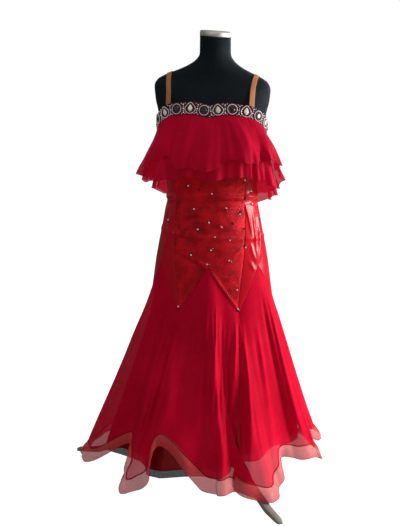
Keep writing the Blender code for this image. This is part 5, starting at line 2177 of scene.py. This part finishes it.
    def hanging(self, top: Numbers, foot: Numbers, shares: Numbers) -> Numbers:
        """Hangs rows of points from a top edge to a foot, steeper at the top.

        Args:
            top: Points of the top edge.
            foot: Points of the foot.
            shares: How far down each row is.

        Returns:
            The rows.
        """
        out = shares**self.hang
        way = np.stack([out, out, shares], axis=-1)[:, None, :]
        return top + (foot - top) * way

    def base_grid(self, places: Numbers, bodice: Bodice, shares: Numbers) -> Numbers:
        """Makes the outer skirt from the zigzag to the braid's seam, without its folds.

        Args:
            places: The columns' places along the hem.
            bodice: The bodice that it hangs from.
            shares: How far down each row is.

        Returns:
            Its points.
        """
        turns = self.turn_at(places)
        rise = math.sqrt(self.braid_width**2 - self.braid_kick**2)
        seam = closed_curve(self.flute_points(self.braid_kick, rise), places)
        top = FIGURE.at(turns, bodice.zigzag(turns) - self.zigzag_gap, EASE + CLOTH / 2)
        grid = self.hanging(top, seam, shares)
        steps = np.arange(-self.soften, self.soften + 1)
        weights = np.exp(-((self.soften_fade * steps / self.soften) ** 2))
        soft = sum(w * np.roll(grid, step, axis=1) for w, step in zip(weights / weights.sum(), steps))
        share = smooth_step(shares, *self.soften_from) * (1.0 - smooth_step(shares, *self.soften_to))
        return grid + (soft - grid) * share[:, None, None]

    def folded(self, grid: Numbers, places: Numbers) -> Numbers:
        """Adds the soft folds.

        Args:
            grid: The skirt's points.
            places: The columns' places along the hem.

        Returns:
            The folded skirt.
        """
        share = np.linspace(0.0, 1.0, len(grid))[:, None]
        lift = np.zeros(grid.shape[:2])
        for top, foot, height, reach, start, end in self.folds:
            apart = self.apart(places, top + (foot - top) * share)
            wide = reach * (self.fold_width[0] + self.fold_width[1] * share)
            high = height * (self.fold_height[0] + self.fold_height[1] * share)
            held = smooth_step(share, start, start + self.fold_fade)
            held = held * (1.0 - smooth_step(share, end, end + self.fold_fade))
            lift += high * held * np.exp(-((apart / wide) ** 2))
        lift += ripples(self.spin(places), self.fine_folds) * smooth_step(share, 0.05, 0.5)
        normals = grid_normals(grid, True)
        level = unit(normals * np.array([1.0, 1.0, self.fold_level]))
        return grid + level * lift[..., None]

    def curled(self, grid: Numbers, places: Numbers) -> Numbers:
        """Draws the tongues of the hem aside, further the lower they are.

        Args:
            grid: The skirt's points.
            places: The columns' places along the hem.

        Returns:
            The skirt with its tongues.
        """
        share = np.linspace(0.0, 1.0, len(grid))[:, None]
        moved = grid.copy()
        for place, reach, aside, ahead, rise, start in self.curls:
            weight = np.exp(-((self.apart(places, place) / reach) ** 2))
            weight = weight * smooth_step(share, start, 1.0) ** self.curl_sharpness
            turn = math.radians(float(self.turn_at(np.array([place]))[0]))
            out = np.array([math.sin(turn), -math.cos(turn), 0.0])
            side = np.array([math.cos(turn), math.sin(turn), 0.0])
            way = side * aside + out * ahead + np.array([0.0, 0.0, rise])
            moved += weight[..., None] * way
        return moved

    def build_braid(self, room: Workroom, places: Numbers, base: Numbers, grid: Numbers) -> None:
        """Builds the clear braid, which kicks out from its seam and ripples, with its fine edge.

        Args:
            room: The workroom.
            places: The columns' places along the hem.
            base: The skirt without its folds.
            grid: The skirt.
        """
        hem = closed_curve(self.flute_points(0.0, 0.0), places)
        hem = hem + (grid[-1] - base[-1]) * self.braid_follow
        share = np.linspace(self.braid_start, 1.0, self.braid_rows)[:, None, None]
        rows = grid[-1] + (hem - grid[-1]) * share
        normals = grid_normals(rows, True)
        waves = ripples(self.spin(places), self.braid_ripples) * share[..., 0] ** self.braid_sharpness
        lift = self.braid_bow * np.sin(math.pi * share[..., 0]) + waves
        rows = rows + normals * lift[..., None]
        rows[..., 2] = np.maximum(rows[..., 2], self.lowest)
        piece = room.sheet("hem_clear_braid", rows, True, "clear_braid", 0.0, self.braid_cut)
        room.seat(piece, ["hem_braid"], "braid")
        edge = room.tube("hem_clear_edge", rows[-1], self.edge_radius, "rolled_edge")
        room.seat(edge, (), "braid's edge")

    def build_lining(self, room: Workroom) -> None:
        """Builds the satin lining and its narrow black braid.

        Args:
            room: The workroom.
        """
        places = np.arange(self.lining_columns) * self.count() / self.lining_columns
        turns = self.turn_at(places)
        seam = closed_curve(self.flute_points(0.0, self.lining_braid, lining=True), places)
        heights, clear = column(self.lining_holds, 0), column(self.lining_holds, 1)
        down = np.linspace(heights[0], heights[-1], self.lining_held_rows)[:, None]
        held = FIGURE.at(turns[None, :], down, EASE - CLOTH / 2 - np.interp(-down, -heights, clear))
        shares = np.linspace(0.0, 1.0, self.lining_rows)
        grid = np.concatenate([held, self.hanging(held[-1], seam, shares)[1:]])
        share = np.concatenate([np.zeros(len(held)), shares[1:]])[:, None]
        fold = ripples(self.spin(places), self.lining_folds) * smooth_step(share, 0.1, 0.9)
        grid = grid + grid_normals(grid, True) * fold[..., None]
        piece = room.sheet("skirt_lining", grid, True, "lining_satin", CLOTH * 0.8, self.lining_cut)
        room.seat(piece, ["lining"], "lining")
        hem = closed_curve(self.flute_points(0.0, 0.0, lining=True), places)
        shift = grid[-1] - seam
        share = np.linspace(0.0, 1.0, self.lining_braid_rows)[:, None, None]
        rows = grid[-1] + (hem + shift - grid[-1]) * share
        braid = room.sheet("lining_black_braid", rows, True, "black_braid", 0.0, self.lining_braid_cut)
        room.seat(braid, ["lining_braid"], "narrow braid")
        edge = room.tube("lining_black_edge", rows[-1], self.edge_radius, "black_braid")
        room.seat(edge, (), "braid's edge")


@dataclass(frozen=True)
class Straps:
    """Two flat elastic straps over the shoulders."""

    width: float = 0.015
    front_x: float = 0.128
    top_x: float = 0.141
    back_x: float = 0.105
    steps: int = 90
    rest: float = 0.0006
    foot: float = 0.0015
    columns: int = 8
    cut: tuple[float, float] = (0.015, 0.44)

    def build(self, room: Workroom) -> None:
        """Builds both straps.

        Args:
            room: The workroom.
        """
        for hand, side in (("left", -1), ("right", 1)):
            piece = room.sheet(f"strap_over_{hand}", self.strap(side), False, "elastic", STRAP_CLOTH * 0.8)
            room.seat(piece, [f"strap_{hand}"], "strap")

    def shoulder_height(self, x: float) -> float:
        """Height where the figure is as wide as x, on the shoulder."""
        heights = np.linspace(1.29, 1.40, 221)
        return float(np.interp(-x, -FIGURE.section(heights)[0], heights))

    def band_top(self, x: float, front: bool) -> float:
        """Finds the height of the band's top edge at a sideways place.

        Args:
            x: How far to the side.
            front: Whether in front or behind.

        Returns:
            The height.
        """
        height = 1.2 if front else 1.12
        for _ in range(4):
            place = FIGURE.at_x(x, height, front)
            height = float(FIGURE.neckline(math.degrees(math.atan2(place[0], -place[1]))))
        return height

    def strap(self, side: int) -> Numbers:
        """Lays one strap from its front end over the shoulder to its back end.

        Args:
            side: 1 on the right, -1 on the left.

        Returns:
            Its points.
        """
        band_middle = EASE + CLOTH + LAY_OVER + BAND_CLOTH / 2
        rest = self.rest + STRAP_CLOTH / 2
        grid, gaps = [], []
        for edge in np.linspace(0.5, -0.5, self.columns + 1):
            line = []
            for step in range(2 * self.steps + 1):
                front = step <= self.steps
                share = (step if front else 2 * self.steps - step) / self.steps
                ease = math.sin(share * math.pi / 2)
                end_x = self.front_x if front else self.back_x
                x = end_x + (self.top_x - end_x) * share + side * edge * self.width
                crest = self.shoulder_height(x)
                foot = self.band_top(end_x + side * edge * self.width, front) + self.foot
                line.append(FIGURE.at_x(x, foot + (crest - foot) * ease, front))
                if edge == 0.5:
                    gaps.append(band_middle + (rest - band_middle) * float(smooth_step(share, 0.0, 0.35)))
            grid.append(line)
        grid = np.array(grid).transpose(1, 0, 2)
        grid[..., 0] *= side
        grid = FIGURE.lifted(grid[..., 0], grid[..., 1], grid[..., 2])
        return grid + grid_normals(grid, False) * np.array(gaps)[:, None, None]


@dataclass(frozen=True)
class Studio:
    """A plain pale floor, a pale surround and soft lights."""

    floor_radius: float = 30.0
    floor_colour: Colour = (0.30, 0.30, 0.30)
    floor_glow: float = 1.0
    surround: float = 1.0
    fill: float = 0.19
    # Columns: power, size, then its place, then what it looks at
    lights: Table = (
        (163.0, 1.7, 3.1, 0.20, 1.35, 0.05, 0.0, 0.65),
        (34.0, 1.6, 1.5, 2.6, 1.8, 0.05, 0.0, 0.9),
        (19.0, 2.6, -1.2, -3.2, 2.2, 0.05, 0.0, 0.8),
        (12.0, 2.6, 0.3, -0.6, 3.6, 0.05, 0.0, 0.4),
    )

    def build(self) -> None:
        """Makes the floor, the surround and the lights."""
        bpy.ops.mesh.primitive_circle_add(vertices=96, radius=self.floor_radius, fill_type="NGON")
        floor = bpy.context.object
        floor.name = "studio_floor"
        material = bpy.data.materials.new("floor_paint")
        material.use_nodes = True
        shader = material.node_tree.nodes["Principled BSDF"]
        shader.inputs["Base Color"].default_value = (*self.floor_colour, 1.0)
        shader.inputs["Roughness"].default_value = 0.9
        shader.inputs["Specular IOR Level"].default_value = 0.1
        shader.inputs["Emission Strength"].default_value = self.floor_glow
        paint = Tree(material.node_tree)
        seen = paint.node("LightPath").outputs["Is Camera Ray"]
        glow = paint.mix(seen, (0.0, 0.0, 0.0, 1.0), (1.0, 1.0, 1.0, 1.0))
        paint.feed(shader.inputs["Emission Color"], glow)
        floor.data.materials.append(material)
        world = bpy.data.worlds.new("studio_surround")
        world.use_nodes = True
        tree = Tree(world.node_tree)
        ray = tree.node("LightPath").outputs["Is Camera Ray"]
        strength = tree.spread(ray, self.fill, self.surround)
        background = world.node_tree.nodes["Background"]
        background.inputs["Color"].default_value = (1.0, 1.0, 1.0, 1.0)
        tree.feed(background.inputs["Strength"], strength)
        bpy.context.scene.world = world
        for number, row in enumerate(self.lights, start=1):
            self.add_light(number, row)
        log.info("studio: floor, surround and %d lights", len(self.lights))

    def add_light(self, number: int, row: tuple[float, ...]) -> None:
        """Adds one soft lamp.

        Args:
            number: Which lamp, from 1.
            row: Its row in the table of lights.
        """
        power, size = row[:2]
        place, target = np.array(row[2:5]), np.array(row[5:8])
        lamp = bpy.data.lights.new(f"soft_lamp_{number}", "AREA")
        lamp.energy = power
        lamp.shape = "DISK"
        lamp.size = size
        held = bpy.data.objects.new(lamp.name, lamp)
        bpy.context.scene.collection.objects.link(held)
        held.location = place
        away = unit(place - target)
        held.rotation_euler = (math.acos(away[2]), 0.0, math.atan2(away[0], -away[1]))


@dataclass(frozen=True)
class PhotoCamera:
    """The camera at the photograph's viewing angle."""

    focal_px: float = 788.0
    sensor: float = 36.0
    height: float = 1.352
    distance: float = 2.6
    pitch: float = 13.76
    azimuth: float = 6.0
    aside: float = -0.040

    def build(self, room: Workroom) -> None:
        """Makes the scene's camera.

        Args:
            room: The workroom.
        """
        spin, tilt = math.radians(self.azimuth), math.radians(self.pitch)
        right = np.array([math.cos(spin), math.sin(spin), 0.0])
        ahead = np.array([-math.sin(spin), math.cos(spin), 0.0])
        place = room.axis + np.array([0.0, 0.0, self.height]) - ahead * self.distance + right * self.aside
        lens = bpy.data.cameras.new("photo_camera")
        lens.sensor_width = self.sensor
        lens.lens = self.focal_px / PHOTO_HIGH * self.sensor
        camera = bpy.data.objects.new("photo_camera", lens)
        bpy.context.scene.collection.objects.link(camera)
        camera.location = place
        camera.rotation_euler = (math.pi / 2 - tilt, 0.0, spin)
        bpy.context.scene.camera = camera
        log.info("camera: %.1f mm", lens.lens)


def main() -> None:
    """Builds the object, the studio and the camera."""
    logging.basicConfig(level=logging.INFO, format="%(name)s %(message)s")
    bpy.context.scene.view_settings.view_transform = "Standard"
    room = Workroom()
    PhotoCamera().build(room)
    Studio().build()
    DressForm().build(room)
    Stand().build(room)
    bodice = Bodice()
    bodice.build(room)
    Skirt().build(room, bodice)
    JewelledBand().build(room)
    ScatteredStones().build(room)
    Frill().build(room)
    Straps().build(room)


if __name__ == "__main__":
    main()
